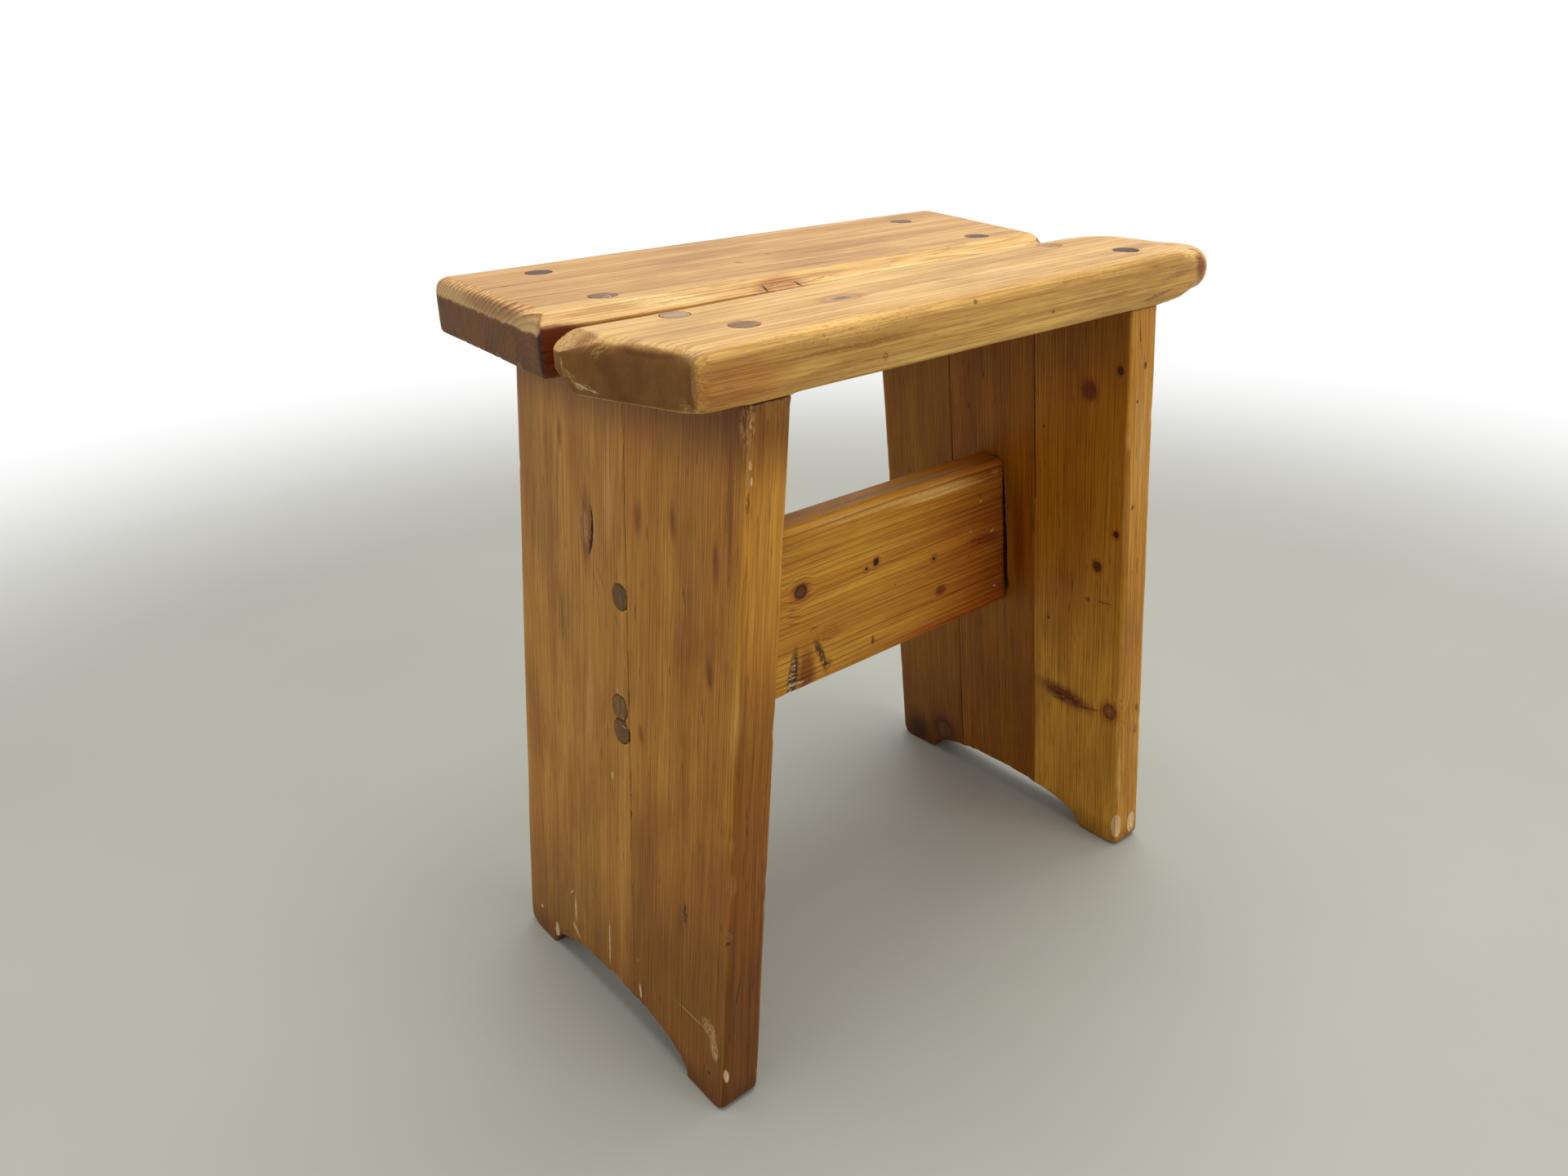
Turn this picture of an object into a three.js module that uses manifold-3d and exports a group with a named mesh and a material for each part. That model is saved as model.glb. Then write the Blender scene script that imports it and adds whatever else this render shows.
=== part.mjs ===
// Pine stool: a seat of two planks with a gap between them, on two splayed side boards.
// A stretcher ties the boards. Screws under wooden plugs hold the planks and the stretcher.
// Millimetres, +Z up. The front is -Y, where the narrower plank lies.
// Values for x and y count from the middle of the seat. The last step shifts the origin,
// so that it lies on the floor under the middle of the whole stool.
import * as THREE from 'three';
import { mergeVertices } from 'three/addons/utils/BufferGeometryUtils.js';
import Module from 'manifold-3d';

const wasm = await Module();
wasm.setup();

// Fits
const seam = 0.3;          // gap between pieces that touch
const overrun = 5;         // how far a cutter runs past what it cuts

// Seat: sizes over both planks, seen from above
const seat = {
  height: 440,
  thickness: 31.5,
  length: 433.5,           // from the front plank's left corner to the rear plank's right one
  gap: 16.5,               // open space between the planks at the left end
};
// The inset values say how far a corner lies inside the seat's full length.
const rearPlank = {
  leftWidth: 150,
  rightWidth: 153,
  rearLeftInset: 23,
  frontLeftInset: 9.5,
  frontRightInset: 48.5,
  cornerRadius: 9,
  frontRightRadius: 7,
  topRadius: 6,            // round-over of the upper edges
  underRadius: 2.5,        // round-over of the lower edges
};
const frontPlank = {
  width: 87.3,
  leftDrop: 2.2,           // the top is worn lower towards the left end
  frontLeftInset: 27,
  rearLeftRadius: 9,
  frontLeftRadius: 10,
  tipReach: 27.3,          // the right end's front corner, past the rear plank, before it is rounded
  tipRadius: 26.5,
  rearRightInset: 34.1,
  rearRightRadius: 42,
  topRadius: 8,
  underRadius: 3.5,
  wearInset: 43.8,         // from here to the tip the round-overs grow
  tipTopRadius: 11.8,
  tipUnderRadius: 11.1,
  tipFall: 3,              // the top is worn down towards the tip
  tipRise: 2.6,            // and the underside is worn up
};

// Side boards, from two or three staves glued edge to edge
const board = {
  thickness: 27,           // measured level, along X
  footWidth: 225.4,
  topWidth: 221.4,
  edgeRadius: 3,
  rearFootRadius: 9,       // rounded corners of the feet
  frontFootRadius: 5,
  archHalfWidth: 76,
  archHeight: 21,
  archPower: 2.2,          // 2 is an ellipse, more is squarer
};
// How far each outer face lies inside the seat's end, and y of each board's middle,
// at the floor and under the seat
const leftInset = { foot: 16.75, top: 55.25, footY: -15, topY: -15 };
const rightInset = { foot: 15.95, top: 59.75, footY: -15, topY: -13 };
// Glue joints between a board's staves: y at the floor and under the seat
const leftJoint = { footY: -37, topY: -20.5 };
const rightFrontJoint = { footY: -49.5, topY: -50 };
const rightRearJoint = { footY: 26, topY: 26 };

// Stretcher between the boards
const stretcher = {
  height: 114.5,
  thickness: 25.4,
  leftMiddleY: -16.5,
  rightMiddleY: -9.5,
  leftMiddleZ: 235.8,
  rightMiddleZ: 232.8,
  edgeRadius: 4.5,
};

// Screws and the plugs that cover them
const plug = { radius: 7.8, length: 9.5 };
const screw = {
  length: 60,
  shankRadius: 2.2,
  headRadius: 4.4,
  headHeight: 2.8,
  tipLength: 7,
  headDepth: 10,           // from the wood's face to the top of the head
};
// Seat screws, two at each end of each plank. The inward values count from the board's outer
// face, measured on the seat's top, and the edge values from the nearer long edge of the plank.
const leftRearPlankScrews = { rearInward: 16.4, rearEdge: 33.9, frontInward: 4.2, frontEdge: 26.6 };
const leftFrontPlankScrews = { rearInward: 8, rearEdge: 15.9, frontInward: 17.7, frontEdge: 28.9 };
const rightRearPlankScrews = { rearInward: 4.2, rearEdge: 36.9, frontInward: 22.5, frontEdge: 27.6 };
const rightFrontPlankScrews = { rearInward: 19.3, rearEdge: 15.9, frontInward: 4.2, frontEdge: 25.4 };
// Stretcher screws, seen from the middle of the stretcher's end
const stretcherScrew = { upperRise: 45.2, lowerDrop: 22.8, leftShift: -2.5, rightShift: -1 };
// An earlier hole in the left board, filled with a plug, seen from the lower screw
const oldHole = { drop: 14, shift: -2 };

// Smoothness of the facets
const roundSteps = 4;      // rings in a round-over
const turnSteps = 24;      // sides of a plug
const screwSides = 12;
const arcStep = THREE.MathUtils.degToRad(12);
const archSteps = 20;

// Sizes worked out from the values above
const seatUnderZ = seat.height - seat.thickness;
const halfLength = seat.length / 2;
const seatDepth = rearPlank.leftWidth + seat.gap + frontPlank.width;
const seatRearY = seatDepth / 2;
const seatFrontY = -seatDepth / 2;
const frontPlankRearY = seatFrontY + frontPlank.width;
const boardTopZ = seatUnderZ - seam;

// Each side board by the x of its outer face and the y of its middle
const leftBoard = {
  footX: leftInset.foot - halfLength,
  topX: leftInset.top - halfLength,
  footY: leftInset.footY,
  topY: leftInset.topY,
};
const rightBoard = {
  footX: halfLength - rightInset.foot,
  topX: halfLength - rightInset.top,
  footY: rightInset.footY,
  topY: rightInset.topY,
};

// x of a board's outer and inner face, and y of its middle, at a height
const heightShare = (z) => z / seatUnderZ;
const outerX = (side, z) => THREE.MathUtils.lerp(side.footX, side.topX, heightShare(z));
const innerX = (side, z) => outerX(side, z) - Math.sign(side.footX) * board.thickness;
const middleY = (side, z) => THREE.MathUtils.lerp(side.footY, side.topY, heightShare(z));
// The board's lean from upright, positive on both sides
const splay = (side) => Math.atan(Math.abs(side.footX - side.topX) / seatUnderZ);
// The front plank's top falls away evenly towards the left end.
const frontPlankTopZ = (x) => THREE.MathUtils.mapLinear(
  x, -halfLength, halfLength, seat.height - frontPlank.leftDrop, seat.height);

// Turns a list of [x, y, radius] corners, counter-clockwise, into outline points with arcs.
// A corner may also carry a form, which its points keep.
function roundedOutline(corners) {
  const points = [];
  corners.forEach(([x, y, radius, form], i) => {
    const here = Object.assign(new THREE.Vector2(x, y), { form });
    const [beforeX, beforeY] = corners[(i + corners.length - 1) % corners.length];
    const [afterX, afterY] = corners[(i + 1) % corners.length];
    if (!radius) {
      points.push(here);
      return;
    }
    const back = new THREE.Vector2(beforeX, beforeY).sub(here).normalize();
    const on = new THREE.Vector2(afterX, afterY).sub(here).normalize();
    const half = Math.acos(back.dot(on)) / 2;
    const turn = Math.PI - 2 * half;
    const centre = back.clone().add(on).normalize().multiplyScalar(radius / Math.sin(half)).add(here);
    const start = here.clone().addScaledVector(back, radius / Math.tan(half)).sub(centre);
    const steps = Math.max(2, Math.ceil(turn / arcStep));
    for (let k = 0; k <= steps; k += 1) {
      const onArc = start.clone().rotateAround(new THREE.Vector2(), (turn * k) / steps).add(centre);
      points.push(Object.assign(onArc, { form }));
    }
  });
  return points;
}

// How each point of an outline moves when every soft edge moves inwards by one unit.
function insetSteps(points, isSoft) {
  const edges = points.map((point, i) => {
    const along = points[(i + 1) % points.length].clone().sub(point).normalize();
    const inward = new THREE.Vector2(-along.y, along.x);
    return { along, step: inward.multiplyScalar(isSoft(point, points[(i + 1) % points.length]) ? 1 : 0) };
  });
  return edges.map((after, i) => {
    const before = edges[(i + points.length - 1) % points.length];
    const cross = before.along.cross(after.along);
    if (Math.abs(cross) < Number.EPSILON) {
      return after.step.clone();
    }
    const reach = after.step.clone().sub(before.step).cross(after.along) / cross;
    return before.step.clone().addScaledVector(before.along, reach);
  });
}

// The rings of a slab with rounded lower and upper edges. Each ring gives the height and the
// inset of an outline point, from the slab's form there.
function roundedLayers(formAt) {
  const quarters = Array.from({ length: roundSteps + 1 }, (_, k) => (Math.PI / 2) * (k / roundSteps));
  return [
    ...quarters.map((angle) => (point) => {
      const { low, lowRadius } = formAt(point);
      return [low + lowRadius * (1 - Math.cos(angle)), lowRadius * (1 - Math.sin(angle))];
    }),
    ...quarters.map((angle) => (point) => {
      const { high, highRadius } = formAt(point);
      return [high - highRadius * (1 - Math.sin(angle)), highRadius * (1 - Math.cos(angle))];
    }),
  ];
}

const flatLayers = (low, high) => [() => [low, 0], () => [high, 0]];

// Triangles over a convex outline, each with a short reach along x, so that its height may
// change along x. They run from the lowest x to the highest, between the front and rear edges.
function ladder(outline) {
  const count = outline.length;
  const xs = outline.map((p) => p.x);
  const first = xs.indexOf(Math.min(...xs));
  const last = xs.indexOf(Math.max(...xs));
  const faces = [];
  let front = first;
  let rear = first;
  while (front !== last || rear !== last) {
    const nextFront = (front + 1) % count;
    const nextRear = (rear + count - 1) % count;
    if (rear === last || (front !== last && xs[nextFront] < xs[nextRear])) {
      faces.push([front, nextFront, rear]);
      front = nextFront;
    } else {
      faces.push([front, nextRear, rear]);
      rear = nextRear;
    }
  }
  return faces.filter(([a, b, c]) => a !== b && b !== c && a !== c);
}

const anyOutline = (outline) => THREE.ShapeUtils.triangulateShape(outline, []);
const allSoft = () => true;

// A closed slab: the outline at each layer, joined by quads, with its two ends covered.
// place turns outline coordinates and height into a point of the part.
function slab(outline, layers, place, isSoft = allSoft, cover = anyOutline) {
  const count = outline.length;
  const steps = insetSteps(outline, isSoft);
  const insetBy = (layer) => outline.map((p, i) => p.clone().addScaledVector(steps[i], layer(p)[1]));
  const rings = layers.map((layer) =>
    insetBy(layer).map((p, i) => place(p.x, p.y, layer(outline[i])[0])));
  const positions = rings.flat().flatMap((p) => [p.x, p.y, p.z]);
  const indices = [];
  for (let ring = 0; ring + 1 < rings.length; ring += 1) {
    for (let i = 0; i < count; i += 1) {
      const a = ring * count + i;
      const b = ring * count + ((i + 1) % count);
      indices.push(a, b, b + count, a, b + count, a + count);
    }
  }
  const top = rings.length - 1;
  const lift = top * count;
  cover(insetBy(layers[0])).forEach(([a, b, c]) => indices.push(c, b, a));
  cover(insetBy(layers[top])).forEach(([a, b, c]) => indices.push(a + lift, b + lift, c + lift));
  const geometry = new THREE.BufferGeometry();
  geometry.setAttribute('position', new THREE.Float32BufferAttribute(positions, 3));
  geometry.setIndex(indices);
  return geometry;
}

// Makes a solid that can be joined or cut from a closed geometry.
function toSolid(geometry) {
  const bare = geometry.clone();
  bare.deleteAttribute('normal');
  bare.deleteAttribute('uv');
  const merged = mergeVertices(bare);
  return new wasm.Manifold(new wasm.Mesh({
    numProp: 3,
    vertProperties: new Float32Array(merged.attributes.position.array),
    triVerts: new Uint32Array(merged.index.array),
  }));
}

function toGeometry(solid) {
  const mesh = solid.getMesh();
  const geometry = new THREE.BufferGeometry();
  geometry.setAttribute('position', new THREE.BufferAttribute(mesh.vertProperties, 3));
  geometry.setIndex(new THREE.BufferAttribute(mesh.triVerts, 1));
  return geometry;
}

const cutBy = (solid, cutters) => cutters.reduce((left, cutter) => left.subtract(cutter), solid);

// Seat planks
const rearPlankCorners = [
  [-halfLength + rearPlank.rearLeftInset, seatRearY, rearPlank.cornerRadius],
  [-halfLength + rearPlank.frontLeftInset, seatRearY - rearPlank.leftWidth, 0],
  [halfLength - rearPlank.frontRightInset, seatRearY - rearPlank.rightWidth, rearPlank.frontRightRadius],
  [halfLength, seatRearY, rearPlank.cornerRadius],
];
const worn = {
  fall: frontPlank.tipFall,
  rise: frontPlank.tipRise,
  topRadius: frontPlank.tipTopRadius,
  underRadius: frontPlank.tipUnderRadius,
};
const frontPlankCorners = [
  [-halfLength, frontPlankRearY, frontPlank.rearLeftRadius],
  [-halfLength + frontPlank.frontLeftInset, seatFrontY, frontPlank.frontLeftRadius],
  [halfLength - frontPlank.wearInset, seatFrontY, 0],
  [halfLength + frontPlank.tipReach, seatFrontY, frontPlank.tipRadius, worn],
  [halfLength - frontPlank.rearRightInset, frontPlankRearY, frontPlank.rearRightRadius],
];

// topZ gives the height of an unworn plank's top at an x. The underside is level but for its wear.
function plankSolid(corners, { topRadius, underRadius }, topZ) {
  const even = { fall: 0, rise: 0, topRadius, underRadius };
  const formAt = (point) => {
    const form = point.form ?? even;
    return {
      low: seatUnderZ + form.rise,
      lowRadius: form.underRadius,
      high: topZ(point.x) - form.fall,
      highRadius: form.topRadius,
    };
  };
  const place = (x, y, z) => new THREE.Vector3(x, y, z);
  return toSolid(slab(roundedOutline(corners), roundedLayers(formAt), place, allSoft, ladder));
}

const rearPlankWhole = plankSolid(rearPlankCorners, rearPlank, () => seat.height);
const frontPlankWhole = plankSolid(frontPlankCorners, frontPlank, frontPlankTopZ);

// Side boards: a bar with rounded upright edges on the board's slope
function boardBar(side) {
  const halfThick = board.thickness / 2;
  const halfFoot = board.footWidth / 2;
  const section = roundedOutline([
    [-halfThick, -halfFoot, board.edgeRadius],
    [halfThick, -halfFoot, board.edgeRadius],
    [halfThick, halfFoot, board.edgeRadius],
    [-halfThick, halfFoot, board.edgeRadius],
  ]);
  const widthShare = (z) => THREE.MathUtils.lerp(1, board.topWidth / board.footWidth, z / seatUnderZ);
  const place = (x, y, z) => new THREE.Vector3(
    (outerX(side, z) + innerX(side, z)) / 2 + x, middleY(side, z) + y * widthShare(z), z);
  return toSolid(slab(section, flatLayers(-overrun, seat.height), place));
}

// What is kept of the bar, seen along X: level ends, rounded feet and the arch between them
function boardProfile(side) {
  const halfFoot = board.footWidth / 2;
  const wide = halfFoot + overrun;
  const aboveFoot = board.rearFootRadius * 2;
  const arch = [];
  for (let k = 1; k < archSteps; k += 1) {
    const angle = Math.PI * (k / archSteps);
    const across = Math.sign(Math.cos(angle)) * Math.abs(Math.cos(angle)) ** (2 / board.archPower);
    const up = Math.sin(angle) ** (2 / board.archPower);
    arch.push([-board.archHalfWidth * across, board.archHeight * up, 0]);
  }
  const outline = roundedOutline([
    [wide, boardTopZ, 0],
    [-wide, boardTopZ, 0],
    [-wide, aboveFoot, 0],
    [-halfFoot, aboveFoot, 0],
    [-halfFoot, 0, board.frontFootRadius],
    [-board.archHalfWidth, 0, 0],
    ...arch,
    [board.archHalfWidth, 0, 0],
    [halfFoot, 0, board.rearFootRadius],
    [halfFoot, aboveFoot, 0],
    [wide, aboveFoot, 0],
  ]);
  return toSolid(acrossBoard(side, outline.map((p) => p.setX(p.x + side.footY))));
}

// An outline in y and z carried right through a board along X
function acrossBoard(side, outline) {
  const reach = Math.abs(side.footX) + overrun;
  return slab(outline, flatLayers(-reach, reach), (y, z, x) => new THREE.Vector3(x, y, z));
}

// The region of a board between two glue joints, or between a joint and the edge
function staveRegion(side, front, rear) {
  const limit = (joint, sign) => ({
    foot: joint ? joint.footY - (sign * seam) / 2 : side.footY + sign * board.footWidth,
    top: joint ? joint.topY - (sign * seam) / 2 : side.topY + sign * board.footWidth,
  });
  const low = limit(front, -1);
  const high = limit(rear, 1);
  const outline = [
    new THREE.Vector2(high.top, seatUnderZ),
    new THREE.Vector2(low.top, seatUnderZ),
    new THREE.Vector2(low.foot, 0),
    new THREE.Vector2(high.foot, 0),
  ];
  return toSolid(acrossBoard(side, outline));
}

// Stretcher: ends cut to the boards' slope, long edges rounded
function stretcherSolid() {
  const { height, thickness, edgeRadius } = stretcher;
  const end = (side, middleZ, up) => {
    const z = middleZ + (up * height) / 2;
    return new THREE.Vector2(z, innerX(side, z) - Math.sign(side.footX) * seam);
  };
  const outline = [
    end(leftBoard, stretcher.leftMiddleZ, -1),
    end(leftBoard, stretcher.leftMiddleZ, 1),
    end(rightBoard, stretcher.rightMiddleZ, 1),
    end(rightBoard, stretcher.rightMiddleZ, -1),
  ];
  const isLong = (a, b) => Math.abs(a.y - b.y) > height;
  const alongY = (x) => THREE.MathUtils.mapLinear(
    x, outline[0].y, outline[3].y, stretcher.leftMiddleY, stretcher.rightMiddleY);
  const layers = roundedLayers(() => ({
    low: -thickness / 2, lowRadius: edgeRadius, high: thickness / 2, highRadius: edgeRadius }));
  const place = (z, x, depth) => new THREE.Vector3(x, alongY(x) + depth, z);
  return toSolid(slab(outline, layers, place, isLong));
}

// Screws and plugs point down their own -Z axis, with the wood's face at 0.
function screwGeometry() {
  const top = -screw.headDepth;
  const tip = top - screw.length;
  const profile = [
    [0, tip],
    [screw.shankRadius, tip + screw.tipLength],
    [screw.shankRadius, top - screw.headHeight],
    [screw.headRadius, top],
    [0, top],
  ];
  return new THREE.LatheGeometry(profile.map(([r, z]) => new THREE.Vector2(r, z)), screwSides)
    .rotateX(Math.PI / 2);
}

// The stepped hole that a screw and its plug fill, with the seam around them.
function holeGeometry() {
  const top = -screw.headDepth;
  const shank = screw.shankRadius + seam;
  const profile = [
    [0, top - screw.length - seam],
    [shank, top - screw.length - seam],
    [shank, top - screw.headHeight - seam],
    [screw.headRadius + seam, top - seam],
    [screw.headRadius + seam, top],
    [plug.radius, top],
    [plug.radius, overrun],
    [0, overrun],
  ];
  return new THREE.LatheGeometry(profile.map(([r, z]) => new THREE.Vector2(r, z)), turnSteps)
    .rotateX(Math.PI / 2);
}

function plugGeometry(above, radius = plug.radius - seam) {
  const height = plug.length + above;
  return new THREE.CylinderGeometry(radius, radius, height, turnSteps)
    .rotateX(Math.PI / 2)
    .translate(0, 0, above - height / 2);
}

// Where each screw goes: a matrix that carries the upright screw to its place.
function placeAt(x, y, z, turn) {
  return new THREE.Matrix4().makeRotationY(turn).setPosition(x, y, z);
}

// The two screws at one end of a plank, given the y of the plank's long edges and its top's height
function plankEndPlaces(side, screws, rearY, frontY, topZ) {
  const sign = Math.sign(side.footX);
  const at = (inward, y) => {
    const x = outerX(side, seat.height) - sign * inward;
    return placeAt(x, y, topZ(x), -sign * splay(side));
  };
  return [
    at(screws.rearInward, rearY - screws.rearEdge),
    at(screws.frontInward, frontY + screws.frontEdge),
  ];
}

// All screws of the seat at one side, from rear to front
function seatScrewPlaces(side, rearPlankScrews, rearPlankWidth, frontPlankScrews) {
  return [
    ...plankEndPlaces(side, rearPlankScrews, seatRearY, seatRearY - rearPlankWidth, () => seat.height),
    ...plankEndPlaces(side, frontPlankScrews, frontPlankRearY, seatFrontY, frontPlankTopZ),
  ];
}

function faceScrewPlace(side, y, z) {
  const sign = Math.sign(side.footX);
  return placeAt(outerX(side, z), y, z, sign * (Math.PI / 2 - splay(side)));
}

function stretcherScrewPlaces(side, middleY, middleZ) {
  return [middleZ + stretcherScrew.upperRise, middleZ - stretcherScrew.lowerDrop]
    .map((z) => faceScrewPlace(side, middleY, z));
}

const leftScrewY = stretcher.leftMiddleY + stretcherScrew.leftShift;
const rightScrewY = stretcher.rightMiddleY + stretcherScrew.rightShift;
const seatPlaces = {
  left: seatScrewPlaces(leftBoard, leftRearPlankScrews, rearPlank.leftWidth, leftFrontPlankScrews),
  right: seatScrewPlaces(rightBoard, rightRearPlankScrews, rearPlank.rightWidth, rightFrontPlankScrews),
};
const facePlaces = {
  left: stretcherScrewPlaces(leftBoard, leftScrewY, stretcher.leftMiddleZ),
  right: stretcherScrewPlaces(rightBoard, rightScrewY, stretcher.rightMiddleZ),
};
const oldHolePlace = faceScrewPlace(
  leftBoard, leftScrewY + oldHole.shift, stretcher.leftMiddleZ - stretcherScrew.lowerDrop - oldHole.drop);

const holeAt = (place) => toSolid(holeGeometry().applyMatrix4(place));
const seatHoles = [...seatPlaces.left, ...seatPlaces.right].map(holeAt);
const faceHoles = { left: facePlaces.left.map(holeAt), right: facePlaces.right.map(holeAt) };
const oldHoleCutter = toSolid(plugGeometry(overrun, plug.radius)
  .translate(0, 0, -seam).applyMatrix4(oldHolePlace));

// Colours of the wood and the steel
const colours = {
  plank: '#b07f42',
  board: '#9a6a34',
  stretcher: '#a8732f',
  plug: '#6e5c46',
  steel: '#8f9092',
};

function woodMaterial(colour) {
  return new THREE.MeshStandardMaterial({ color: colour, roughness: 0.5, metalness: 0 });
}

function steelMaterial() {
  return new THREE.MeshStandardMaterial({ color: colours.steel, roughness: 0.4, metalness: 1 });
}

function namedMesh(name, geometry, material) {
  const mesh = new THREE.Mesh(geometry, material);
  mesh.name = name;
  return mesh;
}

const stool = new THREE.Group();

function addSeat() {
  const planks = { seat_plank_rear: rearPlankWhole, seat_plank_front: frontPlankWhole };
  Object.entries(planks).forEach(([name, whole]) => {
    stool.add(namedMesh(name, toGeometry(cutBy(whole, seatHoles)), woodMaterial(colours.plank)));
  });
}

function addBoard(side, sideName, joints, staveNames, holes) {
  const whole = cutBy(boardBar(side).intersect(boardProfile(side)), holes);
  staveNames.forEach((staveName, i) => {
    const stave = whole.intersect(staveRegion(side, joints[i - 1], joints[i]));
    stool.add(namedMesh(`${sideName}_board_${staveName}_stave`, toGeometry(stave), woodMaterial(colours.board)));
  });
}

function addStretcher() {
  const solid = cutBy(stretcherSolid(), [...faceHoles.left, ...faceHoles.right]);
  stool.add(namedMesh('stretcher', toGeometry(solid), woodMaterial(colours.stretcher)));
}

// A screw keeps its own geometry and is turned into place by its matrix.
function addScrew(name, place) {
  const mesh = namedMesh(name, screwGeometry(), steelMaterial());
  mesh.applyMatrix4(place);
  stool.add(mesh);
}

// A plug in the seat stands on the screw's slope and is trimmed flush with its plank.
function addSeatPlug(name, place) {
  const { y } = new THREE.Vector3().setFromMatrixPosition(place);
  const whole = y > frontPlankRearY ? rearPlankWhole : frontPlankWhole;
  const solid = toSolid(plugGeometry(overrun).applyMatrix4(place)).intersect(whole);
  stool.add(namedMesh(name, toGeometry(solid), woodMaterial(colours.plug)));
}

function addFacePlug(name, place) {
  const mesh = namedMesh(name, plugGeometry(0), woodMaterial(colours.plug));
  mesh.applyMatrix4(place);
  stool.add(mesh);
}

// The filler of the earlier hole, cut back by the plug hole that overlaps it.
function addOldHolePlug() {
  const solid = cutBy(toSolid(plugGeometry(0).applyMatrix4(oldHolePlace)), faceHoles.left);
  stool.add(namedMesh('left_board_filler_plug', toGeometry(solid), woodMaterial(colours.plug)));
}

addSeat();
addBoard(leftBoard, 'left', [leftJoint], ['front', 'rear'], [...seatHoles, ...faceHoles.left, oldHoleCutter]);
addBoard(rightBoard, 'right', [rightFrontJoint, rightRearJoint], ['front', 'middle', 'rear'],
  [...seatHoles, ...faceHoles.right]);
addStretcher();
['left', 'right'].forEach((sideName) => {
  seatPlaces[sideName].forEach((place, i) => {
    addScrew(`${sideName}_seat_screw_${i + 1}`, place);
    addSeatPlug(`${sideName}_seat_plug_${i + 1}`, place);
  });
  facePlaces[sideName].forEach((place, i) => {
    addScrew(`${sideName}_stretcher_screw_${i + 1}`, place);
    addFacePlug(`${sideName}_stretcher_plug_${i + 1}`, place);
  });
});
addOldHolePlug();

// Shift of the origin, from the middle of the seat to the middle of the whole stool
const middle = new THREE.Box3().setFromObject(stool).getCenter(new THREE.Vector3());
stool.children.forEach((mesh) => {
  mesh.position.x -= middle.x;
  mesh.position.y -= middle.y;
});

export default stool;
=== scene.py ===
"""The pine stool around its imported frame: worn, waxed wood, a pale floor and soft studio light."""
import itertools
import math
from dataclasses import dataclass, field

import bmesh
import bpy
import numpy as np
from mathutils import Matrix, Vector
from mathutils.bvhtree import BVHTree


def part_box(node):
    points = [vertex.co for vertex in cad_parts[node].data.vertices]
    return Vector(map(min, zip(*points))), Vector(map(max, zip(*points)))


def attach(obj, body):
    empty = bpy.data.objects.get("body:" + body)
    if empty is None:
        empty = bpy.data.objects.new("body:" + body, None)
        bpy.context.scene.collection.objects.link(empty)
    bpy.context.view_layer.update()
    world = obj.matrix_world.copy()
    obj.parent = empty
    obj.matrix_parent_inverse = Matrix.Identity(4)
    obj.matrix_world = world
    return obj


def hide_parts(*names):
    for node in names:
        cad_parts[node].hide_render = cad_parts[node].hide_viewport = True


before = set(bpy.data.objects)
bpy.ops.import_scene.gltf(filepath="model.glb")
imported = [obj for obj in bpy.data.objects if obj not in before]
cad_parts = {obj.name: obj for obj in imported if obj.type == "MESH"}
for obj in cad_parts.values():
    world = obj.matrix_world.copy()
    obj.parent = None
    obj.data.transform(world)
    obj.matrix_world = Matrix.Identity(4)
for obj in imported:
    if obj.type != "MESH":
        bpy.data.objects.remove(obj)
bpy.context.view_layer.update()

MM = 0.001

# The photograph's camera
CAMERA_PLACE = Vector((-477.365, -529.425, 552.699)) * MM
CAMERA_YAW = 0.6861  # radians, from +Y towards +X
CAMERA_PITCH = 0.4296  # downwards
CAMERA_ROLL = 0.0235
FOCAL_PIXELS = 1433.48  # in pixels of the photograph
PHOTO_SIZE = (1920, 1440)
SENSOR_WIDTH = 36.0

# Sizes of the pieces that their boxes don't give
BOARD_THICKNESS = 27 * MM  # measured level, along X
STRETCHER_THICKNESS = 25.4 * MM
STRETCHER_HEIGHT = 114.5 * MM

# The fine meshes
WOOD_VOXEL = 1.0  # mm
KEPT_SHARE = 0.3  # of a fine mesh's faces, once its flat parts are thinned out


# The camera and what its pixels show

def camera_axes():
    """Right, down and forward."""
    yaw, pitch, roll = CAMERA_YAW, CAMERA_PITCH, CAMERA_ROLL
    forward = Vector((math.sin(yaw) * math.cos(pitch), math.cos(yaw) * math.cos(pitch), -math.sin(pitch)))
    level = Vector((math.cos(yaw), -math.sin(yaw), 0))
    steep = forward.cross(level)
    right = math.cos(roll) * level + math.sin(roll) * steep
    down = -math.sin(roll) * level + math.cos(roll) * steep
    return right, down, forward


def surface(nodes):
    """The CAD surface of some nodes, for finding what a pixel shows."""
    points, faces = [], []
    for node in nodes:
        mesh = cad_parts[node].data
        start = len(points)
        points += [v.co.copy() for v in mesh.vertices]
        faces += [[start + i for i in face.vertices] for face in mesh.polygons]
    return BVHTree.FromPolygons(points, faces)


EDGE_TRIES = 12
EDGE_GAP = 5 * MM  # how far off its outline a pixel may still stand for a piece


def seen_on(tree, pixel):
    """The place and the normal of the surface that a pixel of the photograph shows, or just misses."""
    right, down, forward = camera_axes()
    aside = (pixel[0] - PHOTO_SIZE[0] / 2) / FOCAL_PIXELS
    below = (pixel[1] - PHOTO_SIZE[1] / 2) / FOCAL_PIXELS
    ray = (forward + right * aside + down * below).normalized()
    place, normal, *_ = tree.ray_cast(CAMERA_PLACE, ray)
    if place is not None:
        return place, normal
    reach = CAMERA_PLACE.length
    for _ in range(EDGE_TRIES):
        place, normal, _, gap = tree.find_nearest(CAMERA_PLACE + ray * reach)
        reach = (place - CAMERA_PLACE).dot(ray)
    if gap > EDGE_GAP:
        raise ValueError(f"pixel {pixel} doesn't show this piece")
    return place, normal


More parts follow.
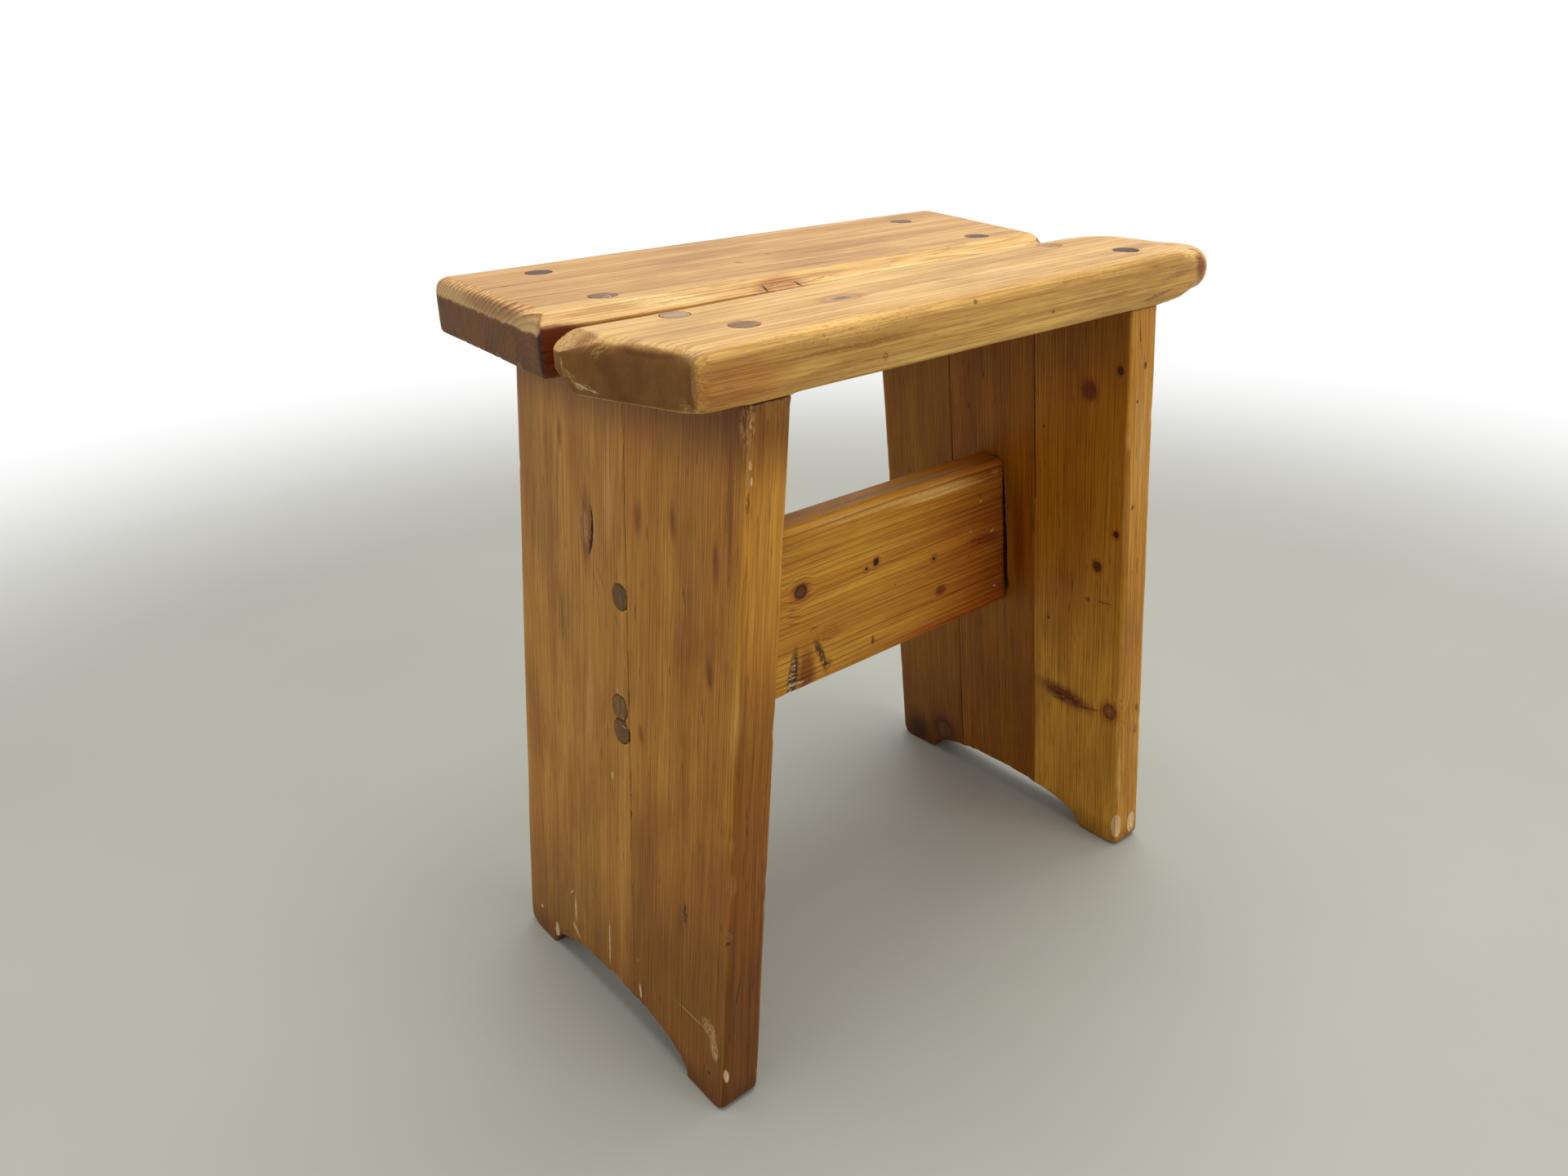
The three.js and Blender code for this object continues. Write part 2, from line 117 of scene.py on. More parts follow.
# Marks, knots and shaved corners, by the pixel of the photograph that shows them

@dataclass
class Spot:
    """A mark, by its half sizes in mm along and across the grain. On end grain, along is level."""
    pixel: tuple
    length: float
    width: float
    colour: tuple
    strength: float = 0.8
    turn: float = 0.0  # degrees
    soft: float = 0.4  # share of its size over which it fades out
    depth: float = 0.0  # how far it is sunk in, mm
    torn: float = 0.0  # share of it that is rubbed away
    bend: float = 0.0  # how far its middle curves aside, mm
    stain: bool = False  # darkens the wood in place of covering it


@dataclass
class Line:
    """A scratch, crack or stripe between two pixels, by its half width in mm."""
    start: tuple
    end: tuple
    width: float
    colour: tuple
    strength: float = 0.8
    soft: float = 0.5
    depth: float = 0.0
    torn: float = 0.0
    bend: float = 0.0
    stain: bool = False


@dataclass
class Knot:
    pixel: tuple
    radius: float  # mm
    heart: tuple = (112, 58, 22)
    rim: tuple = (66, 34, 14)
    longer: float = 1.2  # times as long along the grain
    soft: float = 0.2  # share of its size over which it fades out
    halo: float = 0.6  # how much redder the wood around it is


@dataclass
class Shave:
    """Wood worn away past a plane that faces a direction and lies some mm under the surface."""
    pixel: tuple
    facing: tuple
    depth: float
    rough: float = 0.5


@dataclass
class Mark:
    """A spot or line in the shared frame: x along it, y across it, z out of the surface."""
    place: Vector
    turn: Matrix
    sizes: Vector  # half sizes in mm
    look: object


REACH_IN = 5.0  # mm that a mark's colour reaches into the wood
END_GRAIN_LENGTH = 0.5  # of the grain's direction along a face, below which it is an end


def axes_frame(along, across):
    """A rotation whose X runs along the grain, Y across the face and Z out of it."""
    x = Vector(along).normalized()
    y = (Vector(across) - Vector(across).project(x)).normalized()
    return Matrix((x, y, x.cross(y))).transposed()


def placed(look, tree, grain):
    """Turns a Spot or Line into a Mark on the piece's surface."""
    if isinstance(look, Line):
        start, normal = seen_on(tree, look.start)
        end, _ = seen_on(tree, look.end)
        turn = axes_frame(end - start, normal.cross(end - start))
        sizes = Vector(((end - start).length / 2 / MM, look.width, REACH_IN))
        return Mark((start + end) / 2, turn, sizes, look)
    place, normal = seen_on(tree, look.pixel)
    along = grain - grain.project(normal)
    if along.length < END_GRAIN_LENGTH:
        along = Vector((0, 0, 1)).cross(normal)
    turn = axes_frame(along, normal.cross(along)) @ Matrix.Rotation(math.radians(look.turn), 3, "Z")
    return Mark(place, turn, Vector((look.length, look.width, REACH_IN)), look)


def touches(mark, tree):
    """Whether some place along a mark lies on a surface, or nearly."""
    along = mark.turn.col[0] * mark.sizes.x * MM
    reach = (mark.sizes.y + REACH_IN) * MM
    places = [mark.place + share * along for share in (-1, 0, 1)]
    return any(tree.find_nearest(place, reach)[0] for place in places)


# Fine, worn meshes

class Noise:
    """Smooth, seeded noise between 0 and 1."""
    CELLS = 32

    def __init__(self, seed):
        self.values = np.random.default_rng(seed).random((self.CELLS,) * 3)

    def at(self, points, sizes):
        grid = points / np.array(sizes, float)
        low = np.floor(grid).astype(int)
        share = grid - low
        share = share * share * (3 - 2 * share)
        total = np.zeros(len(points))
        for corner in itertools.product((0, 1), repeat=3):
            weight = np.prod(np.where(corner, share, 1 - share), axis=1)
            total += weight * self.values[tuple(((low + corner) % self.CELLS).T)]
        return total


def read(mesh):
    """Points, normals and edges as arrays."""
    points = np.empty(len(mesh.vertices) * 3)
    mesh.vertices.foreach_get("co", points)
    normals = np.empty(len(mesh.vertices) * 3)
    mesh.vertex_normals.foreach_get("vector", normals)
    edges = np.empty(len(mesh.edges) * 2, np.int32)
    mesh.edges.foreach_get("vertices", edges)
    return points.reshape(-1, 3), normals.reshape(-1, 3), edges.reshape(-1, 2)


def relaxed(points, edges, rounds):
    """The points after moving to the mean of their neighbours some times over."""
    count = len(points)
    neighbours = np.bincount(edges.ravel(), minlength=count)
    for _ in range(rounds):
        moved = np.empty_like(points)
        for axis in range(3):
            total = np.bincount(edges[:, 0], points[edges[:, 1], axis], count)
            total += np.bincount(edges[:, 1], points[edges[:, 0], axis], count)
            moved[:, axis] = total / neighbours
        points = moved
    return points


def store(mesh, name, values):
    mesh.attributes.new(name, "FLOAT", "POINT").data.foreach_set("value", values.astype(np.float32))


@dataclass
class Wear:
    """How a piece is worn, in mm."""
    voxel: float = WOOD_VOXEL
    rounding: float = 2.4  # about how far from an edge its wear reaches
    hollow: float = 0.3  # depth of the broad unevenness
    ripple: float = 0.1  # depth of the ridges along the grain
    nicks: int = 24  # along its edges
    nick_reach: tuple = (1.6, 4.5)
    nick_depth: tuple = (0.25, 0.9)


JOINT_REACH = 5 * MM  # how far from a glued neighbour wood isn't worn
SEAM_REACH = 1.6 * MM  # how far from it wood is drawn towards it, to close the seam
SEAM_SHARE = 0.5

# Patterns of wear, by their sizes in mm along the grain, across it and out of the face
PATCH_SIZES = (38, 21, 21)  # patches where edges are worn more
HOLLOW_SIZES = (75, 34, 34)
RIPPLE_SIZES = (140, 3.5, 3.5)
CHATTER_SIZES = (9, 3, 3)  # unevenness of a shaved face

STEP_ROUNDS = 2  # of relaxing, to take off the steps of the voxels
FULL_EDGE_SHARE = 0.35  # of the rounding: how deep a point lies inwards at a sharp edge
EDGE_LIMIT = 0.02  # of sharpness, below which a point isn't on an edge
NICK_LIMIT = 0.6  # of sharpness, above which an edge may be nicked
LEAST_WEAR_SHARE = 0.15  # of the rounding, that every edge has
PATCH_CONTRAST = 1.5
NICK_FRESH_SHARE = 0.5
FRESH_DEPTH = 0.3  # mm that is shaved off before the face is all fresh wood


def freedom(points, edge, joined, to_shared):
    """How freely each point may wear, 0 beside a piece that it is joined to, and the way to that piece."""
    free = np.ones(len(points))
    way = np.zeros((len(points), 3))
    for i in np.flatnonzero(edge > EDGE_LIMIT) if joined else ():
        place = to_shared @ Vector(points[i])
        nearest, *_, gap = joined.find_nearest(place, JOINT_REACH)
        if gap is not None:
            free[i] = max(gap - SEAM_REACH, 0) / (JOINT_REACH - SEAM_REACH)
            if gap < SEAM_REACH:
                way[i] = to_shared.inverted().to_3x3() @ (nearest - place)
    return free, way


def wear_down(mesh, wear, seed, marks, shaves, to_local, joined):
    """Moves the points of a fine mesh, in mm in the piece's frame, inwards only."""
    raw, normals, edges = read(mesh)
    noise = Noise(seed)
    draw = np.random.default_rng(seed)
    points = relaxed(raw, edges, STEP_ROUNDS)
    rounds = max(STEP_ROUNDS, round(STEP_ROUNDS * (wear.rounding / wear.voxel) ** 2))
    soft = relaxed(points, edges, rounds)
    inward = np.maximum(-((soft - points) * normals).sum(1), 0)
    edge = np.clip(inward / (FULL_EDGE_SHARE * wear.rounding), 0, 1)
    free, way = freedom(points, edge, joined, to_local.inverted())
    points = raw + free[:, None] * (points - raw)
    edge *= free
    amount = LEAST_WEAR_SHARE + (1 - LEAST_WEAR_SHARE) * noise.at(points, PATCH_SIZES) ** PATCH_CONTRAST
    amount *= free * (edge > 0)
    points = points + (soft - points) * (amount * (inward > 0))[:, None] + SEAM_SHARE * way
    sunk = wear.hollow * noise.at(points, HOLLOW_SIZES) + wear.ripple * noise.at(points, RIPPLE_SIZES)

    corners = np.flatnonzero(edge > NICK_LIMIT)
    fresh = np.zeros(len(points))
    for _ in range(wear.nicks if len(corners) else 0):
        middle = points[draw.choice(corners)]
        reach = draw.uniform(*wear.nick_reach)
        near = np.clip(1 - (((points - middle) / (2 * reach, reach, reach)) ** 2).sum(1), 0, 1)
        sunk += draw.uniform(*wear.nick_depth) * near ** 2
        fresh = np.maximum(fresh, NICK_FRESH_SHARE * near)
    for mark in marks:
        if mark.look.depth:
            turn = np.array(to_local.to_3x3().normalized() @ mark.turn)
            place = np.array(to_local @ mark.place)
            offset = ((points - place) @ turn) / np.array(mark.sizes)
            offset[:, 1] += mark.look.bend / mark.look.width * (offset[:, 0] ** 2 - 1)
            sunk += mark.look.depth * np.clip(1 - (offset ** 2).sum(1), 0, 1)
    points = points - normals * sunk[:, None]

    for place, facing, rough in shaves:
        over = (points - place) @ facing + rough * (noise.at(points, CHATTER_SIZES) - 0.5)
        points = points - np.maximum(over, 0)[:, None] * facing
        fresh = np.maximum(fresh, np.clip(over / FRESH_DEPTH, 0, 1))
    mesh.vertices.foreach_set("co", points.ravel())
    mesh.update()
    store(mesh, "wear", edge * amount)
    store(mesh, "fresh", fresh)


def apply_modifiers(piece):
    shape = piece.evaluated_get(bpy.context.evaluated_depsgraph_get())
    mesh = bpy.data.meshes.new_from_object(shape)
    piece.modifiers.clear()
    piece.data = mesh


SCREW_REACH = 2.9 * MM  # a hole's wall and floor lie nearer than this to the screw in it
WELD_REACH = 0.001 * MM


def close_holes(mesh, screws):
    """Fills the screws' holes from a board's top, because the wood beside them is too thin to be worn."""
    shape = bmesh.new()
    shape.from_mesh(mesh)
    bmesh.ops.remove_doubles(shape, verts=shape.verts, dist=WELD_REACH)
    beside = {v for v in shape.verts if screws.find_nearest(v.co, SCREW_REACH)[0]}
    below = max(v.co.z for v in shape.verts) - MM
    walls = [face for face in shape.faces
             if beside.issuperset(face.verts) and min(v.co.z for v in face.verts) < below]
    bmesh.ops.delete(shape, geom=walls, context="FACES")
    rims = [edge for edge in shape.edges if edge.is_boundary]
    bmesh.ops.holes_fill(shape, edges=rims, sides=0)
    shape.to_mesh(mesh)
    shape.free()


def refine(node, place, wear, seed, marks=(), shaves=(), joined=None):
    """A finely meshed, worn piece that stands for a node. place is the piece's frame, in metres."""
    to_local = Matrix.Scale(1 / MM, 4) @ place.inverted()
    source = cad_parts[node].data.copy()
    source.materials.clear()
    if "stave" in node:
        close_holes(source, surface([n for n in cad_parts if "seat_screw" in n]))
    source.transform(to_local)
    piece = bpy.data.objects.new(node + "_worn", source)
    bpy.context.scene.collection.objects.link(piece)
    remesh = piece.modifiers.new("fine", "REMESH")
    remesh.mode = "VOXEL"
    remesh.voxel_size = wear.voxel
    apply_modifiers(piece)
    cuts = []
    for shave, spot in shaves:
        facing = np.array((to_local.to_3x3().normalized() @ Vector(shave.facing)).normalized())
        cuts.append((np.array(to_local @ spot) - shave.depth * facing, facing, shave.rough))
    wear_down(piece.data, wear, seed, marks, cuts, to_local, joined)
    thin = piece.modifiers.new("thin", "DECIMATE")
    thin.ratio = KEPT_SHARE
    apply_modifiers(piece)
    piece.data.transform(to_local.inverted())
    piece.data.shade_smooth()
    return piece


def settle(piece, node, material):
    piece.data.materials.clear()
    piece.data.materials.append(material)
    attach(piece, "root")
    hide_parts(node)


# Nodes of a material

class Graph:
    """Short calls for shader nodes. Any input takes a number, a tuple or another node's output."""

    def __init__(self, owner, output):
        owner.use_nodes = True
        self.owner = owner
        self.tree = owner.node_tree
        self.tree.nodes.clear()
        self.output = self.node(output)

    def put(self, value, socket):
        if isinstance(value, bpy.types.NodeSocket):
            self.tree.links.new(value, socket)
        else:
            socket.default_value = value

    def node(self, kind, inputs=(), **settings):
        made = self.tree.nodes.new("ShaderNode" + kind)
        for key, value in settings.items():
            setattr(made, key, value)
        for key, value in dict(inputs).items():
            self.put(value, made.inputs[key])
        return made

    def math(self, operation, a, b=0.0, c=0.0):
        return self.node("Math", {0: a, 1: b, 2: c}, operation=operation).outputs[0]

    def times(self, a, b):
        return self.math("MULTIPLY", a, b)

    def vector(self, operation, a, b=(0.0, 0.0, 0.0)):
        made = self.node("VectorMath", {0: a, 1: b}, operation=operation)
        return made.outputs["Value" if operation == "LENGTH" else "Vector"]

    def stretch(self, vector, sizes):
        """Divides a vector by a length along each axis."""
        return self.vector("DIVIDE", vector, sizes)

    def split(self, vector):
        return self.node("SeparateXYZ", {"Vector": vector}).outputs

    def join(self, x, y, z):
        return self.node("CombineXYZ", {"X": x, "Y": y, "Z": z}).outputs[0]

    def place(self, vector, location, turn, sizes):
        """A vector in a frame of its own, in units of the sizes."""
        return self.node("Mapping", vector_type="TEXTURE", inputs={
            "Vector": vector, "Location": location, "Rotation": turn.to_euler(), "Scale": sizes}).outputs[0]

    def noise(self, vector, sizes=None, detail=2.0, roughness=0.5, output="Fac"):
        """Smooth noise whose patterns have some sizes along the vector's axes."""
        return self.node("TexNoise", {
            "Vector": self.stretch(vector, sizes) if sizes else vector,
            "Scale": 1.0, "Detail": detail, "Roughness": roughness}).outputs[output]

    def shift(self, vector, amounts, at, sizes):
        """A vector moved about by noise, at most half of the amounts each way."""
        moved = self.vector("SUBTRACT", self.noise(at, sizes, output="Color"), (0.5, 0.5, 0.5))
        return self.vector("ADD", vector, self.vector("MULTIPLY", moved, amounts))

    def step(self, value, low, high, start=0.0, end=1.0):
        """Goes smoothly from start to end as value goes from low to high."""
        made = self.node("MapRange", interpolation_type="SMOOTHSTEP", inputs={
            "Value": value, "From Min": low, "From Max": high, "To Min": start, "To Max": end})
        return made.outputs["Result"]

    def blend(self, factor, a, b, kind="MIX"):
        made = self.node("Mix", {"Factor": factor, 6: a, 7: b}, data_type="RGBA", blend_type=kind)
        return made.outputs[2]

    def tint(self, factor, base, tone):
        """Darkens the base towards a tone."""
        return self.blend(factor, base, colour(*tone), "MULTIPLY")

    def stored(self, name):
        return self.node("Attribute", attribute_name=name).outputs["Fac"]

    def bump(self, height, strength, distance):
        return self.node("Bump", {
            "Height": height, "Strength": strength, "Distance": distance}).outputs[0]

    def seen(self):
        """1 for a ray that shows a surface to the camera, straight or through gloss or glass."""
        rays = self.node("LightPath").outputs
        seen = self.math("MAXIMUM", rays["Is Camera Ray"], rays["Is Glossy Ray"])
        return self.math("MAXIMUM", seen, rays["Is Transmission Ray"])


def new_finish(name):
    """The graph of a new material with one shader."""
    g = Graph(bpy.data.materials.new(name), "OutputMaterial")
    g.shader = g.node("BsdfPrincipled")
    g.put(g.shader.outputs[0], g.output.inputs["Surface"])
    return g


def colour(red, green, blue):
    """A colour as it is picked on a screen, for a socket that wants linear values."""
    def linear(value):
        value /= 255
        return value / 12.92 if value <= 0.04045 else ((value + 0.055) / 1.055) ** 2.4
    return (linear(red), linear(green), linear(blue), 1.0)


# Wood

WAX_SHINE = 0.22  # the shader's own level is 0.5
WAX_CHANGE = 0.06  # of roughness between the fibres
RAW_ROUGHNESS = 0.15  # more than on the wax, at ends and on fresh wood
RELIEF_STRENGTH = 0.35
RELIEF_DEPTH = 0.25 * MM
LATE_RELIEF = 0.6
FIBRE_RELIEF = 0.5
STREAK_RELIEF = 0.5
DASH_RELIEF = 0.35
WAX_LEVELS = (0.2, 0.8)  # of the fibres, from the dullest wax to the shiniest

# Patterns in the wood, by their sizes in mm along the grain, across it and out of the face
SWAY_SIZES = (190, 70, 70)
WAVER_SIZES = (42, 13, 13)
WAVER = (0, 0.9, 0.9)  # how far the finer waver moves the growth lines
LINE_SIZES = (120, 9, 9)  # stretches of a growth line that are darker
FIBRE_SIZES = (34, 0.8, 0.8)
STREAK_SIZES = (150, 1.1, 1.1)
DASH_SIZES = (17, 1.1, 1.3)
BAND_LENGTH = 260
BAND_DEPTH = 20
PATINA_SIZES = (90, 38, 38)
UNEVEN_KNOT = (1.6, 1.2, 1.2)  # how far a knot's outline is uneven
UNEVEN_KNOT_SIZES = (3, 3, 3)
RAGGED_MARK = (1.4 * MM,) * 3  # how far a mark's outline is ragged
RAGGED_MARK_SIZES = (2.6 * MM,) * 3
SEED_STEP = (1130.0, 370.0, 710.0)

# Tones that darken the wood under them
HALO_TONE = (196, 134, 80)
PATINA_TONE = (200, 186, 164)
STREAK_TONE = (176, 150, 122)
FIBRE_TONE = (194, 172, 142)
DASH_TONE = (136, 104, 74)

# Levels of a pattern, from where it begins to show to where it is full
LINE_LEVELS = (0.32, 0.62)
BAND_LEVELS = (0.35, 0.65)
PATINA_LEVELS = (0.42, 0.7)
STREAK_LEVELS = (0.36, 0.6)  # full below the first
FIBRE_LEVELS = (0.3, 0.6)  # full below the first
DASH_LEVELS = (0.66, 0.74)
WEAR_LEVELS = (0.1, 0.8)
PATCHY_DIRT_AND_SHADE_LEVELS = (0.7, 0.3)
PATCHY_WEAR_LEVELS = (0.35, 0.65)

# How far a face looks along the grain, from where something changes to where it has changed
END_TURN = (0.5, 0.85)
END_LINES_TURN = (0.12, 0.4)
FLAT_END_TURN = (0.95, 0.7)
WORN_END_TURN = (0.2, 0.8)
LESS_LINES_TURN = (0.5, 0.9)
SIDE_TURN = (0.95, 0.6)  # how far it looks straight out

# How much of something shows where it is weakest, or all over
FAINT_LINE_SHARE = 0.35
FLAT_END_SHARE = 0.3
END_LINES_SHARE = 0.25
LEAST_DIRT_AND_SHADE_SHARE = 0.75
END_SHARE = 0.9
FRESH_SHARE = 0.5
FIBRE_SHARE = 0.5
WORN_SHARES = (0.75, 0.35)  # from the cleanest wood to the dirtiest
WORN_END_SHARE = 0.35


@dataclass
class DirtAndShade:
    """Darkens a piece along its grain, from where it is lightest to where it is darkest, in mm. Under the
    seat this is painted shade as well as dirt.
    """
    clean: float
    darkest: float
    share: float
    colour: tuple = (158, 138, 116)
    on: str = ""  # "sides" or "faces" where only these are darkened


@dataclass
class Grain:
    """How a piece's wood looks. Lengths are in mm."""
    pith: tuple  # where the rings' middle lies, across and out of the face
    spacing: float  # of the growth rings
    early: tuple
    late: tuple
    seed: int
    late_share: float = 0.6  # how dark the latewood lines are
    thin: float = 3.0  # how thin they are
    sway: float = 5.0  # how far the grain wanders
    warm: tuple = (206, 174, 136)
    patina: float = 0.5
    edge: tuple = (220, 168, 92)
    end: tuple = (146, 124, 88)
    side: tuple = (255, 255, 255)
    fresh: tuple = (206, 158, 98)
    comb: float = 0.9  # how dark the lines are where an end rounds over
    band: float = 11  # width of the broad bands
    roughness: float = 0.5
    streaks: float = 0.5  # how dark the fine lines between the rings are
    dashes: float = 0.5  # how dark the short dark dashes are
    # dirt along the grain, and painted shade under the seat
    dirt_and_shade: list = field(default_factory=list)


KNOT_SWAY_SHARE = 3.4  # of a knot's radius, within which the grain parts round it
FULL_SWAY_SHARE = 0.25  # of that distance, where it parts most
MOST_SWAY_SHARE = 0.8  # how much of the way to the knot's middle it is drawn there
RING_RUN = 4  # how many rings long their unevenness is
RING_SHIFT = 2.4  # how many rings it moves them
YEAR_END_SHARE = 0.94  # of a ring, where its latewood begins to fade


def bend_round(g, local, knots):
    """The grain parts round each knot: coordinates near it are drawn towards its middle."""
    for middle, radii, _ in knots:
        offset = g.vector("SUBTRACT", local, middle)
        distance = g.vector("LENGTH", g.stretch(offset, [KNOT_SWAY_SHARE * r for r in radii]))
        pull = g.step(distance, FULL_SWAY_SHARE, 1.0, MOST_SWAY_SHARE, 0.0)
        local = g.vector("SUBTRACT", local, g.vector("MULTIPLY", offset, g.join(0, pull, pull)))
    return local


def ring_lines(g, local, seeded, grain, knots, endwise):
    """How dark the latewood is: thin lines by the distance from the pith, of their own strength at an end."""
    parted = bend_round(g, local, knots)
    bent = g.shift(parted, (0, grain.sway, grain.sway), seeded, SWAY_SIZES)
    bent = g.shift(bent, WAVER, seeded, WAVER_SIZES)
    off_pith = g.vector("SUBTRACT", g.vector("MULTIPLY", bent, (0, 1, 1)), (0, *grain.pith))
    radius = g.vector("LENGTH", off_pith)
    along = g.math("DIVIDE", radius, RING_RUN * grain.spacing)
    uneven = g.times(g.noise(g.join(along, grain.seed, 0), detail=3), RING_SHIFT)
    year = g.math("FRACT", g.math("ADD", g.math("DIVIDE", radius, grain.spacing), uneven))
    strength = g.step(g.noise(seeded, LINE_SIZES), *LINE_LEVELS, FAINT_LINE_SHARE, 1.0)
    at_end = g.step(endwise, *FLAT_END_TURN, FLAT_END_SHARE * grain.comb, grain.comb)
    strength = g.blend(g.step(endwise, *END_LINES_TURN), g.times(strength, grain.late_share), at_end)
    late = g.times(g.math("POWER", year, grain.thin), g.step(year, YEAR_END_SHARE, 1.0, 1.0, 0.0))
    return g.times(late, strength)


# Shares of a knot's radius, from where something begins to show to where it is full
HALO_SHARES = (2.6, 1.0)
RIM_SHARES = (1.2, 1.0)
INNER_RIM_SHARES = (0.8, 0.96)

HEART_RINGS = 5.0  # in a knot's radius
HEART_LEVELS = (0.35, 0.65)
HEART_TONE_SHARE = 0.78  # of its colour, in its darker rings
RIM_STRENGTH = 0.75


def paint_knot(g, base, local, knot):
    """Fine rings in a dark rim, and redder wood around it."""
    middle, radii, look = knot
    offset = g.vector("SUBTRACT", local, middle)
    distance = g.vector("LENGTH", g.stretch(offset, radii))
    base = g.tint(g.step(distance, *HALO_SHARES, 0.0, look.halo), base, HALO_TONE)
    rings = g.noise(g.join(g.times(distance, HEART_RINGS), look.radius, 0), detail=1)
    darker = colour(*[HEART_TONE_SHARE * c for c in look.heart])
    heart = g.blend(g.step(rings, *HEART_LEVELS), colour(*look.heart), darker)
    base = g.blend(g.step(distance, 1.0 + look.soft, 1.0 - look.soft), base, heart)
    outer = g.step(distance, RIM_SHARES[0] + look.soft, RIM_SHARES[1])
    inner = g.step(distance, INNER_RIM_SHARES[0] - look.soft, INNER_RIM_SHARES[1])
    return g.blend(g.times(g.times(outer, inner), RIM_STRENGTH), base, colour(*look.rim))


TORN_SIZES = (4 * MM, 0.9 * MM, 0.9 * MM)  # of the streaks left in a rubbed mark
TORN_LEVEL = 0.35  # of noise, below which a mark that is hardly torn is gone
TORN_RANGE = 0.3  # how much higher that level is for a mark that is nearly all torn away
TORN_EDGE = 0.06  # to either side of it, over which the mark fades


def paint_mark(g, base, spot, mark):
    look = mark.look
    inside = g.place(spot, mark.place, mark.turn, mark.sizes * MM)
    if look.bend:
        x, y, z = g.split(inside)
        arch = g.math("MULTIPLY_ADD", g.times(x, x), look.bend / look.width, y)
        inside = g.join(x, g.math("SUBTRACT", arch, look.bend / look.width), z)
    shown = g.step(g.vector("LENGTH", inside), 1.0, 1.0 - look.soft, 0.0, look.strength)
    if look.torn:
        scraps = g.noise(g.place(spot, mark.place, mark.turn, TORN_SIZES), detail=3, roughness=0.65)
        middle = TORN_LEVEL + TORN_RANGE * look.torn
        shown = g.times(shown, g.step(scraps, middle - TORN_EDGE, middle + TORN_EDGE))
    return g.blend(shown, base, colour(*look.colour), "MULTIPLY" if look.stain else "MIX")


